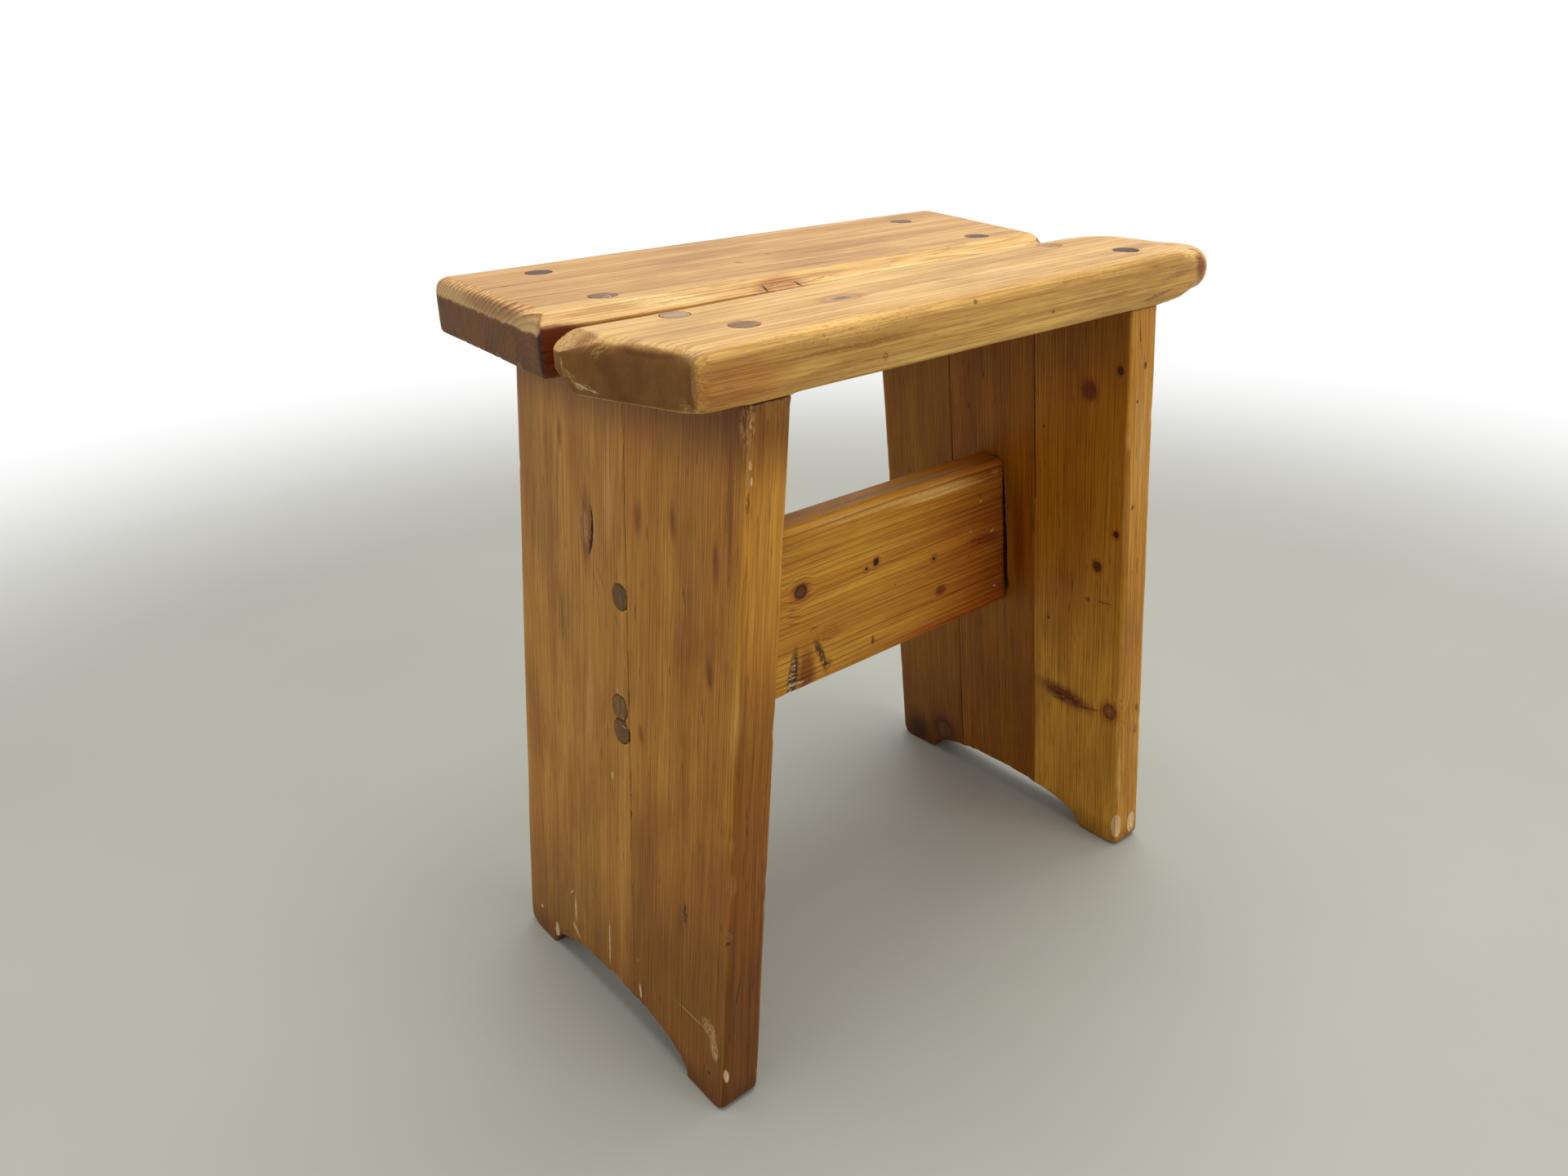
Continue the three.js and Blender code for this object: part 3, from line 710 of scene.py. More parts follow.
def pine(name, place, grain, knots=(), marks=()):
    """Growth rings round a pith line, fibres, streaks, dirt and painted shade, knots, marks and a waxed
    surface.
    """
    g = new_finish(name)
    coordinates = g.node("TexCoord")
    shared = coordinates.outputs["Object"]
    turn = place.to_3x3()
    local = g.place(shared, place.translation, turn, (MM, MM, MM))
    normal = g.split(g.place(coordinates.outputs["Normal"], (0, 0, 0), turn, (1, 1, 1)))
    seeded = g.vector("ADD", local, [grain.seed * s for s in SEED_STEP])
    endwise = g.math("ABSOLUTE", normal[0])
    ends = g.step(endwise, *END_TURN)
    sides = g.step(normal[2], *SIDE_TURN)
    late = ring_lines(g, local, seeded, grain, knots, endwise)

    fibre = g.noise(seeded, FIBRE_SIZES, roughness=0.6)
    streak = g.noise(seeded, STREAK_SIZES, roughness=0.6)
    dash = g.step(g.noise(seeded, DASH_SIZES, detail=1), *DASH_LEVELS)
    band = g.noise(seeded, (BAND_LENGTH, grain.band, BAND_DEPTH))
    patina = g.noise(seeded, PATINA_SIZES, detail=4, roughness=0.6)
    wear = g.stored("wear")
    fresh = g.stored("fresh")

    base = colour(*grain.early)
    base = g.tint(g.step(band, *BAND_LEVELS, 0.0, grain.patina), base, grain.warm)
    base = g.tint(g.step(patina, *PATINA_LEVELS, 0.0, grain.patina), base, PATINA_TONE)
    # Dirt, and under the seat painted shade as well, darken the wood along its grain
    for dirt_and_shade in grain.dirt_and_shade:
        amount = g.step(g.split(local)[0], dirt_and_shade.clean, dirt_and_shade.darkest, 0.0, dirt_and_shade.share)
        amount = g.times(amount, g.step(patina, *PATCHY_DIRT_AND_SHADE_LEVELS, LEAST_DIRT_AND_SHADE_SHARE, 1.0))
        if dirt_and_shade.on:
            amount = g.times(amount, sides if dirt_and_shade.on == "sides" else g.math("SUBTRACT", 1.0, sides))
        base = g.tint(amount, base, dirt_and_shade.colour)
    base = g.tint(sides, base, grain.side)
    base = g.tint(g.times(ends, END_SHARE), base, grain.end)
    rubbed = g.times(g.step(wear, *WEAR_LEVELS), g.step(patina, *PATCHY_WEAR_LEVELS, *WORN_SHARES))
    rubbed = g.times(rubbed, g.step(endwise, *WORN_END_TURN, 1.0, WORN_END_SHARE))
    base = g.blend(rubbed, base, colour(*grain.edge))
    base = g.blend(g.times(fresh, FRESH_SHARE), base, colour(*grain.fresh))
    uneven = g.shift(local, UNEVEN_KNOT, seeded, UNEVEN_KNOT_SIZES)
    for knot in knots:
        base = paint_knot(g, base, uneven, knot)
    ragged = g.shift(shared, RAGGED_MARK, shared, RAGGED_MARK_SIZES)
    for mark in marks:
        base = paint_mark(g, base, ragged, mark)

    lines = [min(dark / light, 1.0) for dark, light in zip(colour(*grain.late), colour(*grain.early))]
    base = g.blend(late, base, (*lines[:3], 1.0), "MULTIPLY")
    lengthwise = g.step(endwise, *LESS_LINES_TURN, 1.0, END_LINES_SHARE)
    streaks = g.step(streak, *STREAK_LEVELS, grain.streaks, 0.0)
    fibres = g.step(fibre, *FIBRE_LEVELS, FIBRE_SHARE, 0.0)
    dashes = g.times(dash, grain.dashes)
    for shown, tone in ((streaks, STREAK_TONE), (fibres, FIBRE_TONE), (dashes, DASH_TONE)):
        base = g.tint(g.times(shown, lengthwise), base, tone)
    g.put(base, g.shader.inputs["Base Color"])

    relief = g.math("ADD", g.times(late, LATE_RELIEF), g.times(fibre, FIBRE_RELIEF))
    relief = g.math("ADD", relief, g.times(streak, STREAK_RELIEF))
    relief = g.math("SUBTRACT", relief, g.times(dash, DASH_RELIEF))
    g.put(g.bump(relief, RELIEF_STRENGTH, RELIEF_DEPTH), g.shader.inputs["Normal"])
    waxed = g.step(fibre, *WAX_LEVELS, grain.roughness + WAX_CHANGE, grain.roughness - WAX_CHANGE)
    raw = g.times(g.math("MAXIMUM", ends, fresh), RAW_ROUGHNESS)
    g.put(g.math("ADD", waxed, raw), g.shader.inputs["Roughness"])
    g.put(WAX_SHINE, g.shader.inputs["Specular IOR Level"])
    return g.owner


BRUSH_SIZES = (0.4 * MM, 0.4 * MM, 6 * MM)
BRUSH_STRENGTH = 0.2
BRUSH_DEPTH = 0.05 * MM
BRUSH_LEVELS = (0.3, 0.7)
STEEL_ROUGHNESS = (0.32, 0.46)
STEEL_TONES = ((150, 150, 152), (190, 190, 192))


def steel():
    g = new_finish("brushed_steel")
    spot = g.node("TexCoord").outputs["Object"]
    lines = g.noise(spot, BRUSH_SIZES)
    g.put(g.blend(lines, *(colour(*tone) for tone in STEEL_TONES)), g.shader.inputs["Base Color"])
    g.put(g.step(lines, *BRUSH_LEVELS, *STEEL_ROUGHNESS), g.shader.inputs["Roughness"])
    g.put(g.bump(lines, BRUSH_STRENGTH, BRUSH_DEPTH), g.shader.inputs["Normal"])
    g.put(1.0, g.shader.inputs["Metallic"])
    return g.owner


# The pieces of wood. Each mark has its pixels, its half sizes in mm, its colour and its strength.

DARK = (54, 32, 20)
BROWN = (92, 56, 30)
RED = (128, 66, 32)
PALE = (208, 162, 104)
CREAM = (240, 214, 168)


@dataclass
class Wood:
    nodes: list
    place: Matrix
    grains: list  # one for each node
    slot: str
    knots: list = field(default_factory=list)
    marks: list = field(default_factory=list)
    shaves: list = field(default_factory=list)
    wear: Wear = field(default_factory=Wear)


def piece_frame(origin, along, across):
    return Matrix.Translation(origin) @ axes_frame(along, across).to_4x4()


def whole_box(nodes):
    """The lowest and highest corners of some nodes together."""
    corners = np.array([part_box(node) for node in nodes])
    return Vector(corners[:, 0].min(axis=0)), Vector(corners[:, 1].max(axis=0))


def board_frame(nodes, lean_sign):
    """The face that looks towards -X: the near board's outer one, the far board's inner one."""
    low, high = whole_box(nodes)
    lean = lean_sign * (high.x - low.x - BOARD_THICKNESS)
    foot_x = low.x if lean_sign > 0 else high.x - BOARD_THICKNESS
    return piece_frame((foot_x, (low.y + high.y) / 2, 0), (lean, 0, high.z), (0, 1, 0))


def stretcher_frame():
    """The front face, which turns a little back and down to the right."""
    low, high = whole_box(["stretcher"])
    back = high.y - low.y - STRETCHER_THICKNESS
    drop = high.z - low.z - STRETCHER_HEIGHT
    origin = (0, low.y + back / 2, (low.z + high.z) / 2)
    return piece_frame(origin, (high.x - low.x, back, -drop), (0, 0, 1))


def top_frame(node):
    low, high = whole_box([node])
    return piece_frame((0, (low.y + high.y) / 2, high.z), (1, 0, 0), (0, 1, 0))


# Facets of the rear plank's rounded left end: how far they face up, and how deep they lie, in mm
REAR_END_FACETS = [(0.5, 1.5), (1.2, 2.1), (2.8, 1.5)]
REAR_END_FACE = (600, 400)  # pixels on that end and on its upper edge
REAR_END_TOP = (600, 366)


def rear_end_shaves():
    _, out = seen_on(surface(["seat_plank_rear"]), REAR_END_FACE)
    return [Shave(REAR_END_TOP, out + Vector((0, 0, up)), depth, rough=0.4)
            for up, depth in REAR_END_FACETS]


REAR_PLANK_MARKS = [
    Line((880, 357), (935, 347), 0.6, BROWN, 0.45, torn=0.3),
    Spot((944, 342), 4, 2, PALE, 0.6, torn=0.3),
    Spot((978, 349), 3, 3, PALE, 0.6, torn=0.3),
    Spot((620, 350), 5, 2, BROWN, 0.6, torn=0.4),
    Spot((905, 321), 3, 4, BROWN, 0.6, torn=0.3),
    Spot((940, 310), 1.6, 2, DARK, 0.6),
    Spot((1278, 293), 6, 4, BROWN, 0.7, depth=1.2, torn=0.2),
    Spot((1245, 291), 4, 5, BROWN, 0.7, depth=0.8, torn=0.3),
    Spot((1140, 272), 22, 3, (150, 118, 96), 0.5, soft=0.8, torn=0.4),
    Spot((1165, 300), 20, 3, (150, 110, 76), 0.5, soft=0.8, torn=0.4),
    Spot((606, 374), 12, 5, CREAM, 0.6, 8, soft=0.6, torn=0.6),
    Spot((632, 386), 9, 4, CREAM, 0.6, -12, soft=0.6, torn=0.6),
    Spot((655, 393), 6, 2.6, RED, 0.7, soft=0.5, torn=0.3),
    Spot((670, 430), 34, 18, (145, 88, 34), 1.0, stain=True),
    # Painted light along the worn front bevel, which is otherwise in shade, over its paler worn wood
    Line((640, 393), (900, 357), 7, (255, 228, 160), 0.95, soft=0.6, torn=0.1),
    Line((860, 363), (1250, 297), 7, (255, 224, 156), 0.9, soft=0.6, torn=0.15),
    Line((545, 352), (652, 398), 8, (206, 192, 184), 1.0, stain=True),
    Spot((961, 348), 10.5, 5.5, (222, 168, 116), 0.7, soft=0.25, torn=0.1),
    Spot((950, 352), 4, 2, (226, 172, 116), 0.6, torn=0.3),
    Line((985, 347), (1062, 330), 0.9, DARK, 0.85, soft=0.3, depth=0.8, torn=0.1, bend=1.2),
    Line((933, 343), (940, 360), 1.3, DARK, 0.9, depth=1.6, torn=0.15, bend=1.0),
    Line((941, 343), (952, 341), 0.8, BROWN, torn=0.2),
    Line((974, 337), (986, 351), 1.4, DARK, 0.9, depth=1.8, torn=0.15, bend=-1.0),
]


def rear_plank():
    node = "seat_plank_rear"
    # Its fresh tone is pale worn wood and, on the shaved front bevel, part of the painted light there
    grain = Grain(pith=(-62, -52), spacing=4.2, early=(220, 178, 112), late=(150, 96, 44), seed=1,
                  late_share=0.5, thin=2.2, sway=14, edge=(236, 192, 122), side=(255, 246, 214),
                  end=(116, 88, 56), fresh=(252, 214, 148), comb=1.5, dashes=0.4)
    knot = Knot((960, 348), radius=7, heart=(176, 122, 70), rim=(190, 134, 80),
                longer=2.0, soft=0.5, halo=0.1)
    bevel = Shave((900, 357), facing=(0.0, -1.0, 1.7), depth=2.5, rough=0.3)
    shaves = [bevel, *rear_end_shaves()]
    return Wood([node], top_frame(node), [grain], "plank", [knot], REAR_PLANK_MARKS, shaves)


FRONT_PLANK_MARKS = [
    Spot((1195, 369), 2.2, 1.6, BROWN, 0.7),
    Spot((1290, 382), 1.6, 1.3, BROWN, 0.7),
    Spot((1085, 437), 2.2, 3.0, BROWN, 0.6, torn=0.3),
    Line((706, 428), (738, 409), 0.9, PALE, 0.6, bend=2, torn=0.4),
    Line((712, 434), (748, 413), 0.9, PALE, 0.6, bend=2, torn=0.4),
    Line((720, 438), (756, 420), 0.9, PALE, 0.55, bend=2, torn=0.4),
    Spot((706, 416), 15, 11, (150, 106, 62), soft=0.6, torn=0.1),
    Spot((736, 430), 10, 3.6, PALE, 0.5, 25, soft=0.7, torn=0.6),
    Line((684, 434), (692, 466), 1.6, PALE, 0.6, torn=0.5),
    Line((688, 448), (712, 480), 2.4, PALE, 0.6, torn=0.5),
    Line((698, 468), (736, 484), 2.2, CREAM, 0.6, torn=0.5),
    Spot((846, 436), 5, 4, (140, 108, 96), 0.6, soft=0.7, torn=0.3),
    Line((846, 442), (851, 500), 1.2, (176, 138, 104), 0.5, torn=0.4),
    Spot((838, 498), 4, 4, PALE, 0.4, soft=0.8, torn=0.5),
    Spot((1472, 322), 9, 16, (160, 104, 62), 0.9, soft=0.7, stain=True),
    Line((1450, 303), (1476, 318), 2.0, DARK, 0.7, torn=0.35),
    Line((1408, 352), (1470, 322), 4.0, RED, 0.5, soft=0.9, torn=0.3),
    Line((1395, 372), (1440, 352), 1.2, BROWN, 0.6, torn=0.3),
    # Painted highlight along the round-over of the front top edge
    Line((856, 438), (1200, 364), 9, (255, 212, 124), 0.75, soft=0.8, torn=0.25),
    Spot((900, 470), 45, 16, (236, 212, 200), 1.0, soft=0.7, stain=True),
    Line((742, 421), (836, 438), 4, (206, 190, 184), 1.0, stain=True),
    # More painted highlight on that round-over, out towards the right tip
    Line((1180, 358), (1440, 322), 6, (240, 196, 118), 0.4, soft=0.8, torn=0.4),
    Line((862, 500), (1230, 405), 3, (226, 178, 112), 0.5, soft=0.7, torn=0.35),
    Line((905, 455), (1190, 392), 3, (190, 156, 120), 0.6, soft=0.9, torn=0.3, stain=True),
]


def front_plank():
    node = "seat_plank_front"
    grain = Grain(pith=(80, -70), spacing=4.6, early=(230, 192, 124), late=(164, 108, 50), seed=2,
                  late_share=0.45, thin=2.0, sway=12, edge=(240, 194, 108), patina=0.45, side=(255, 250, 216),
                  end=(128, 96, 64), fresh=(176, 132, 86), comb=0.1, streaks=0.4, dashes=0.3)
    knot = Knot((1030, 364), radius=4.2, heart=(150, 122, 108), rim=(206, 172, 130),
                longer=1.9, soft=0.4)
    worn_corner = Shave((694, 478), facing=(-1.0, 0.7, -1.1), depth=2.2)
    worn_edge = Shave((722, 414), facing=(-1.0, 0.1, 1.6), depth=1.0)
    shaves = [worn_corner, worn_edge]
    return Wood([node], top_frame(node), [grain], "plank", [knot], FRONT_PLANK_MARKS, shaves)


BROWN_STAIN = (170, 140, 106)
FOOT_DIRT = DirtAndShade(clean=24, darkest=2, share=0.6, colour=(160, 132, 106))
BOARD_WEAR = Wear(nicks=14, nick_depth=(0.15, 0.5))


def shade(start, end, width, strength=0.8, soft=0.9):
    """A brown stain along the grain."""
    return Line(start, end, width, BROWN_STAIN, strength, soft, stain=True)


def side_board(nodes, lean_sign, grains, knots, marks):
    """A side board, glued up from staves of much the same wood."""
    shared = {"thin": 2.2, "band": 18, "warm": (222, 198, 160)}
    grains = [Grain(**{**shared, **grain}) for grain in grains]
    return Wood(nodes, board_frame(nodes, lean_sign), grains, "board", knots, marks, wear=BOARD_WEAR)


NEAR_BOARD_MARKS = [
    Line((763, 500), (764, 600), 0.7, BROWN, 0.7, torn=0.1),
    Line((764, 600), (767, 712), 0.5, BROWN, 0.5, torn=0.2),
    Spot((715, 646), 15, 4.2, (176, 112, 56), 0.7, 2, soft=0.6, torn=0.2),
    Spot((716, 644), 12, 2.4, (226, 168, 104), 0.85, 2, torn=0.4),
    Line((712, 620), (713, 676), 0.6, BROWN, 0.85, bend=-1.8, torn=0.15),
    Line((716, 626), (718, 668), 0.5, BROWN, 0.7, bend=1.0, torn=0.35),
    Line((721, 612), (719, 684), 1.7, (64, 30, 14), 0.97, soft=0.3, depth=1.4, bend=3.6),
    Line((725, 622), (724, 672), 0.5, (226, 180, 120), bend=2.2, torn=0.2),
    Line((708, 590), (716, 622), 0.5, BROWN, 0.55, bend=-1.0),
    Line((712, 585), (722, 618), 0.5, BROWN, 0.5, bend=-1.0),
    Line((728, 690), (742, 730), 0.6, BROWN, 0.5, bend=1.0),
    Line((722, 692), (736, 740), 0.6, BROWN, 0.45, bend=1.0),
    Line((682, 500), (682, 690), 1.2, BROWN, 0.45, torn=0.2),
    shade((683, 500), (686, 560), 3.0, 0.7, 0.8),
    Line((683, 860), (684, 890), 0.9, BROWN, 0.6, torn=0.2),
    shade((686, 700), (690, 800), 3.0, 0.6),
    shade((780, 600), (781, 670), 6),
    shade((822, 606), (824, 674), 5),
    Line((791, 640), (793, 668), 0.8, BROWN, torn=0.2),
    shade((875, 640), (877, 740), 5),
    Line((875, 670), (876, 694), 0.8, BROWN, torn=0.2),
    Line((836, 716), (838, 744), 1.2, BROWN, 0.7, torn=0.2),
    Line((777, 736), (778, 764), 0.7, DARK, torn=0.2),
    shade((866, 790), (870, 860), 5),
    Line((868, 830), (870, 842), 1.0, BROWN, torn=0.2),
    Line((819, 812), (820, 832), 0.7, BROWN, 0.7, torn=0.2),
    Line((858, 850), (862, 890), 1.0, BROWN, 0.6, torn=0.3),
    shade((783, 880), (786, 920), 4),
    shade((895, 500), (892, 760), 4, 0.7),
    Line((742, 500), (745, 700), 7, (252, 206, 130), 0.35, soft=0.95),
    Line((722, 760), (724, 960), 8, (252, 206, 130), 0.35, soft=0.95),
    Line((905, 800), (896, 960), 5, (250, 200, 110), 0.35, soft=0.95),
    Line((755, 718), (760, 717), 0.5, CREAM, 0.9, bend=0.4),
    Line((754, 752), (755, 766), 0.6, DARK, 0.7),
    Line((755, 841), (756, 850), 0.5, CREAM, 0.95),
    Line((756, 850), (751, 864), 0.6, CREAM, 0.9, bend=-0.8, torn=0.15),
    Line((756, 849), (763, 859), 0.5, CREAM, 0.9, bend=0.4),
    Spot((749, 949), 3.0, 1.4, CREAM, depth=0.5, torn=0.2),
    # Painted shadow of the seat's edge, at the top of the board's front edge
    Spot((921, 500), 5, 4, DARK, 0.6, soft=0.7),
    Spot((914, 522), 14, 7, (226, 178, 118), 0.6, soft=0.6, torn=0.5),
    Spot((920, 570), 3, 1.0, CREAM, 0.7, depth=0.5, torn=0.2),
    Spot((921, 590), 2.4, 0.9, CREAM, 0.7, depth=0.4, torn=0.2),
    Line((918, 600), (916, 634), 1.0, BROWN, 0.7, torn=0.2),
    Spot((682, 1138), 7, 2.8, CREAM, 0.95, soft=0.3, depth=0.7),
    Line((704, 1094), (706, 1132), 1.1, CREAM, 0.9, torn=0.25),
    Line((700, 1126), (712, 1152), 2.2, CREAM, 0.9, torn=0.4),
    Line((702, 1090), (698, 1094), 0.8, CREAM),
    Spot((664, 1109), 1.6, 1.6, CREAM, 0.9),
    Spot((694, 1140), 1.5, 1.5, DARK, 0.7),
    Line((725, 1090), (725, 1103), 0.6, PALE, 0.6),
    Line((746, 1125), (747, 1184), 0.9, CREAM, 0.9, soft=0.3, torn=0.1),
    Line((783, 1203), (785, 1223), 1.3, CREAM, 0.95, soft=0.3),
    Spot((781, 1176), 1.5, 1.5, PALE, 0.7, torn=0.3),
    Line((838, 1100), (839, 1136), 2.0, DARK, 0.9, torn=0.3),
    Line((834, 1114), (843, 1124), 1.0, DARK, torn=0.2),
    Line((889, 1134), (906, 1136), 1.1, BROWN, 0.9, bend=-1.8, torn=0.15),
    Line((887, 1160), (896, 1152), 0.9, DARK, 0.85, torn=0.2),
    Spot((891, 1147), 5, 3, (158, 108, 58), 0.5, 10, soft=0.3, torn=0.2),
    Spot((868, 1260), 7, 9, (222, 180, 128), 0.75, -20, soft=0.6, torn=0.35),
    Spot((874, 1285), 10, 4.4, (226, 186, 134), 0.8, 10, soft=0.5, torn=0.3),
    Line((824, 1222), (870, 1266), 0.8, PALE, torn=0.15),
    Line((888, 1310), (891, 1328), 1.7, CREAM, 0.95, soft=0.3, depth=0.8),
    Spot((868, 1314), 1.4, 1.4, DARK, 0.85, depth=0.6),
    Line((908, 1190), (900, 1240), 1.2, DARK, 0.6, torn=0.4),
]


def near_board():
    nodes = ["left_board_front_stave", "left_board_rear_stave"]
    shared = {"spacing": 1.9, "late_share": 0.55, "sway": 4, "patina": 0.6}
    # Painted shade under the seat, with some dirt: darker and greyer up to the seat
    dirt_and_shade_under_seat = DirtAndShade(clean=362, darkest=400, share=0.85, colour=(146, 128, 112))
    low_front = DirtAndShade(clean=200, darkest=60, share=0.75)
    low_rear = DirtAndShade(clean=120, darkest=0, share=0.7)
    # The front edge is darker towards the bottom
    strip = DirtAndShade(clean=330, darkest=220, share=1.0, colour=(184, 160, 134), on="sides")
    front = dict(shared, pith=(-260, 40), early=(212, 151, 56), late=(138, 86, 24), seed=3,
                 warm=(222, 198, 164), edge=(206, 150, 62), streaks=0.35,
                 dirt_and_shade=[dirt_and_shade_under_seat, low_front, strip, FOOT_DIRT])
    rear = dict(shared, pith=(-240, -60), early=(211, 154, 65), late=(142, 92, 32), seed=4,
                warm=(222, 200, 168), edge=(208, 154, 70), streaks=0.3, dashes=0.4,
                dirt_and_shade=[dirt_and_shade_under_seat, low_rear, FOOT_DIRT])
    knot = Knot((717, 648), radius=3.0, heart=(190, 138, 78), rim=(150, 100, 54),
                longer=4.6, soft=0.4)
    return side_board(nodes, 1, [front, rear], [knot], NEAR_BOARD_MARKS)


FAR_BOARD_KNOTS = [
    Knot((1334, 478), radius=3.8, heart=(136, 72, 20), rim=(120, 60, 18), soft=0.6),
    Knot((1358, 872), radius=4.6, heart=(190, 124, 56), rim=(104, 52, 18), soft=0.25),
    Knot((1156, 893), radius=9, heart=(126, 80, 30), rim=(84, 46, 16), longer=1.1, soft=0.3),
    Knot((1372, 454), radius=2.0, heart=(84, 36, 12), rim=(60, 26, 10)),
    Knot((1366, 655), radius=1.8, heart=(84, 36, 12), rim=(60, 26, 10)),
    Knot((1343, 694), radius=2.6, heart=(104, 50, 16), rim=(70, 32, 12), soft=0.4),
]
FAR_BOARD_MARKS = [
    Line((1266, 420), (1266, 560), 0.5, BROWN, 0.7, torn=0.1),
    Line((1336, 684), (1342, 692), 0.7, RED, 0.7),
    Line((1258, 824), (1352, 880), 11, (136, 82, 44), 1.0, soft=0.8, torn=0.1, stain=True),
    Line((1280, 838), (1306, 852), 1.2, (84, 38, 12), 0.7, bend=-1.6, torn=0.15),
    Line((1284, 852), (1318, 866), 1.2, (84, 38, 12), 0.7, bend=2.0, torn=0.15),
    Spot((1308, 859), 2.2, 4.0, (168, 110, 50), 0.8, 10),
    Line((1318, 864), (1350, 872), 1.4, (92, 44, 16), 0.6, torn=0.2),
    Spot((1332, 734), 2.6, 2.4, BROWN, torn=0.2),
    Line((1340, 735), (1364, 742), 1.2, BROWN, 0.6, torn=0.3),
    Spot((1284, 756), 1.4, 1.2, DARK),
    Spot((1126, 890), 26, 24, (116, 82, 52), 0.85, soft=0.9, stain=True),
    Spot((1392, 866), 4, 2.4, BROWN, torn=0.2),
    Spot((1390, 892), 5, 2.6, BROWN, 0.7, torn=0.3),
    Line((1372, 900), (1369, 992), 2.4, (222, 172, 98), torn=0.2),
    Line((1402, 410), (1392, 660), 8, (226, 178, 106), 0.5, soft=0.95, torn=0.1),
    Line((1204, 452), (1204, 464), 0.7, DARK),
    Line((1186, 492), (1186, 502), 0.7, DARK, 0.9),
    Spot((1278, 522), 1.3, 1.3, DARK, 0.9),
    Line((1397, 385), (1398, 440), 0.7, DARK, depth=0.6, torn=0.2),
    Spot((1403, 447), 3, 2.0, BROWN),
    Spot((1403, 447), 1.2, 1.0, DARK, 0.9),
    Spot((1393, 492), 1.6, 1.4, DARK),
    Spot((1387, 622), 2.4, 1.8, BROWN),
    Line((1393, 680), (1392, 706), 1.6, BROWN, 0.6, torn=0.4),
    Spot((1367, 1013), 12, 5.6, (246, 206, 150), 0.95, soft=0.2, depth=0.8, torn=0.1),
    Spot((1385, 1006), 10, 5.4, (246, 206, 150), 0.95, soft=0.2, depth=0.8, torn=0.1),
    # Painted shadow in the gap between the stretcher's end and this board
    Line((1227, 560), (1232, 740), 2.6, (40, 22, 14), 0.97, soft=0.3),
    Line((1231, 588), (1232, 650), 0.45, (176, 150, 128), torn=0.2),
    # More painted shadow in that gap: a wider part, and along the stretcher's top corner
    Spot((1232, 712), 8, 2.6, DARK, 0.9),
    Line((1210, 556), (1229, 566), 2.2, (40, 22, 14), 0.9, soft=0.4),
    Line((1246, 560), (1250, 760), 9, (170, 96, 40), 0.6, soft=0.9, stain=True),
]


def far_board():
    nodes = ["right_board_front_stave", "right_board_middle_stave", "right_board_rear_stave"]
    # Painted shade under the seat, with some dirt, and more of it on the front stave's faces
    dirt_and_shade_under_seat = DirtAndShade(clean=330, darkest=404, share=0.5)
    dirt_and_shade_under_front = DirtAndShade(clean=330, darkest=404, share=0.6, on="faces")
    # The front stave's faces are darker and yellower towards the top
    high_front = DirtAndShade(clean=100, darkest=300, share=0.95, colour=(209, 184, 92), on="faces")
    low_middle = DirtAndShade(clean=250, darkest=60, share=0.2)
    low_rear = DirtAndShade(clean=180, darkest=20, share=0.7, colour=(170, 136, 60))
    front = dict(pith=(-230, 60), spacing=2.2, early=(243, 183, 66), late=(160, 106, 30), seed=5,
                 streaks=0.4, side=(228, 222, 214), dirt_and_shade=[high_front, dirt_and_shade_under_front, FOOT_DIRT])
    middle = dict(pith=(210, -80), spacing=2.6, early=(184, 118, 12), late=(116, 64, 6), seed=6,
                  streaks=0.35, dirt_and_shade=[low_middle, dirt_and_shade_under_seat])
    rear = dict(pith=(240, 50), spacing=2.4, early=(186, 128, 20), late=(122, 78, 12), seed=7,
                streaks=0.35, dirt_and_shade=[low_rear, dirt_and_shade_under_seat, FOOT_DIRT])
    return side_board(nodes, -1, [front, middle, rear], FAR_BOARD_KNOTS, FAR_BOARD_MARKS)


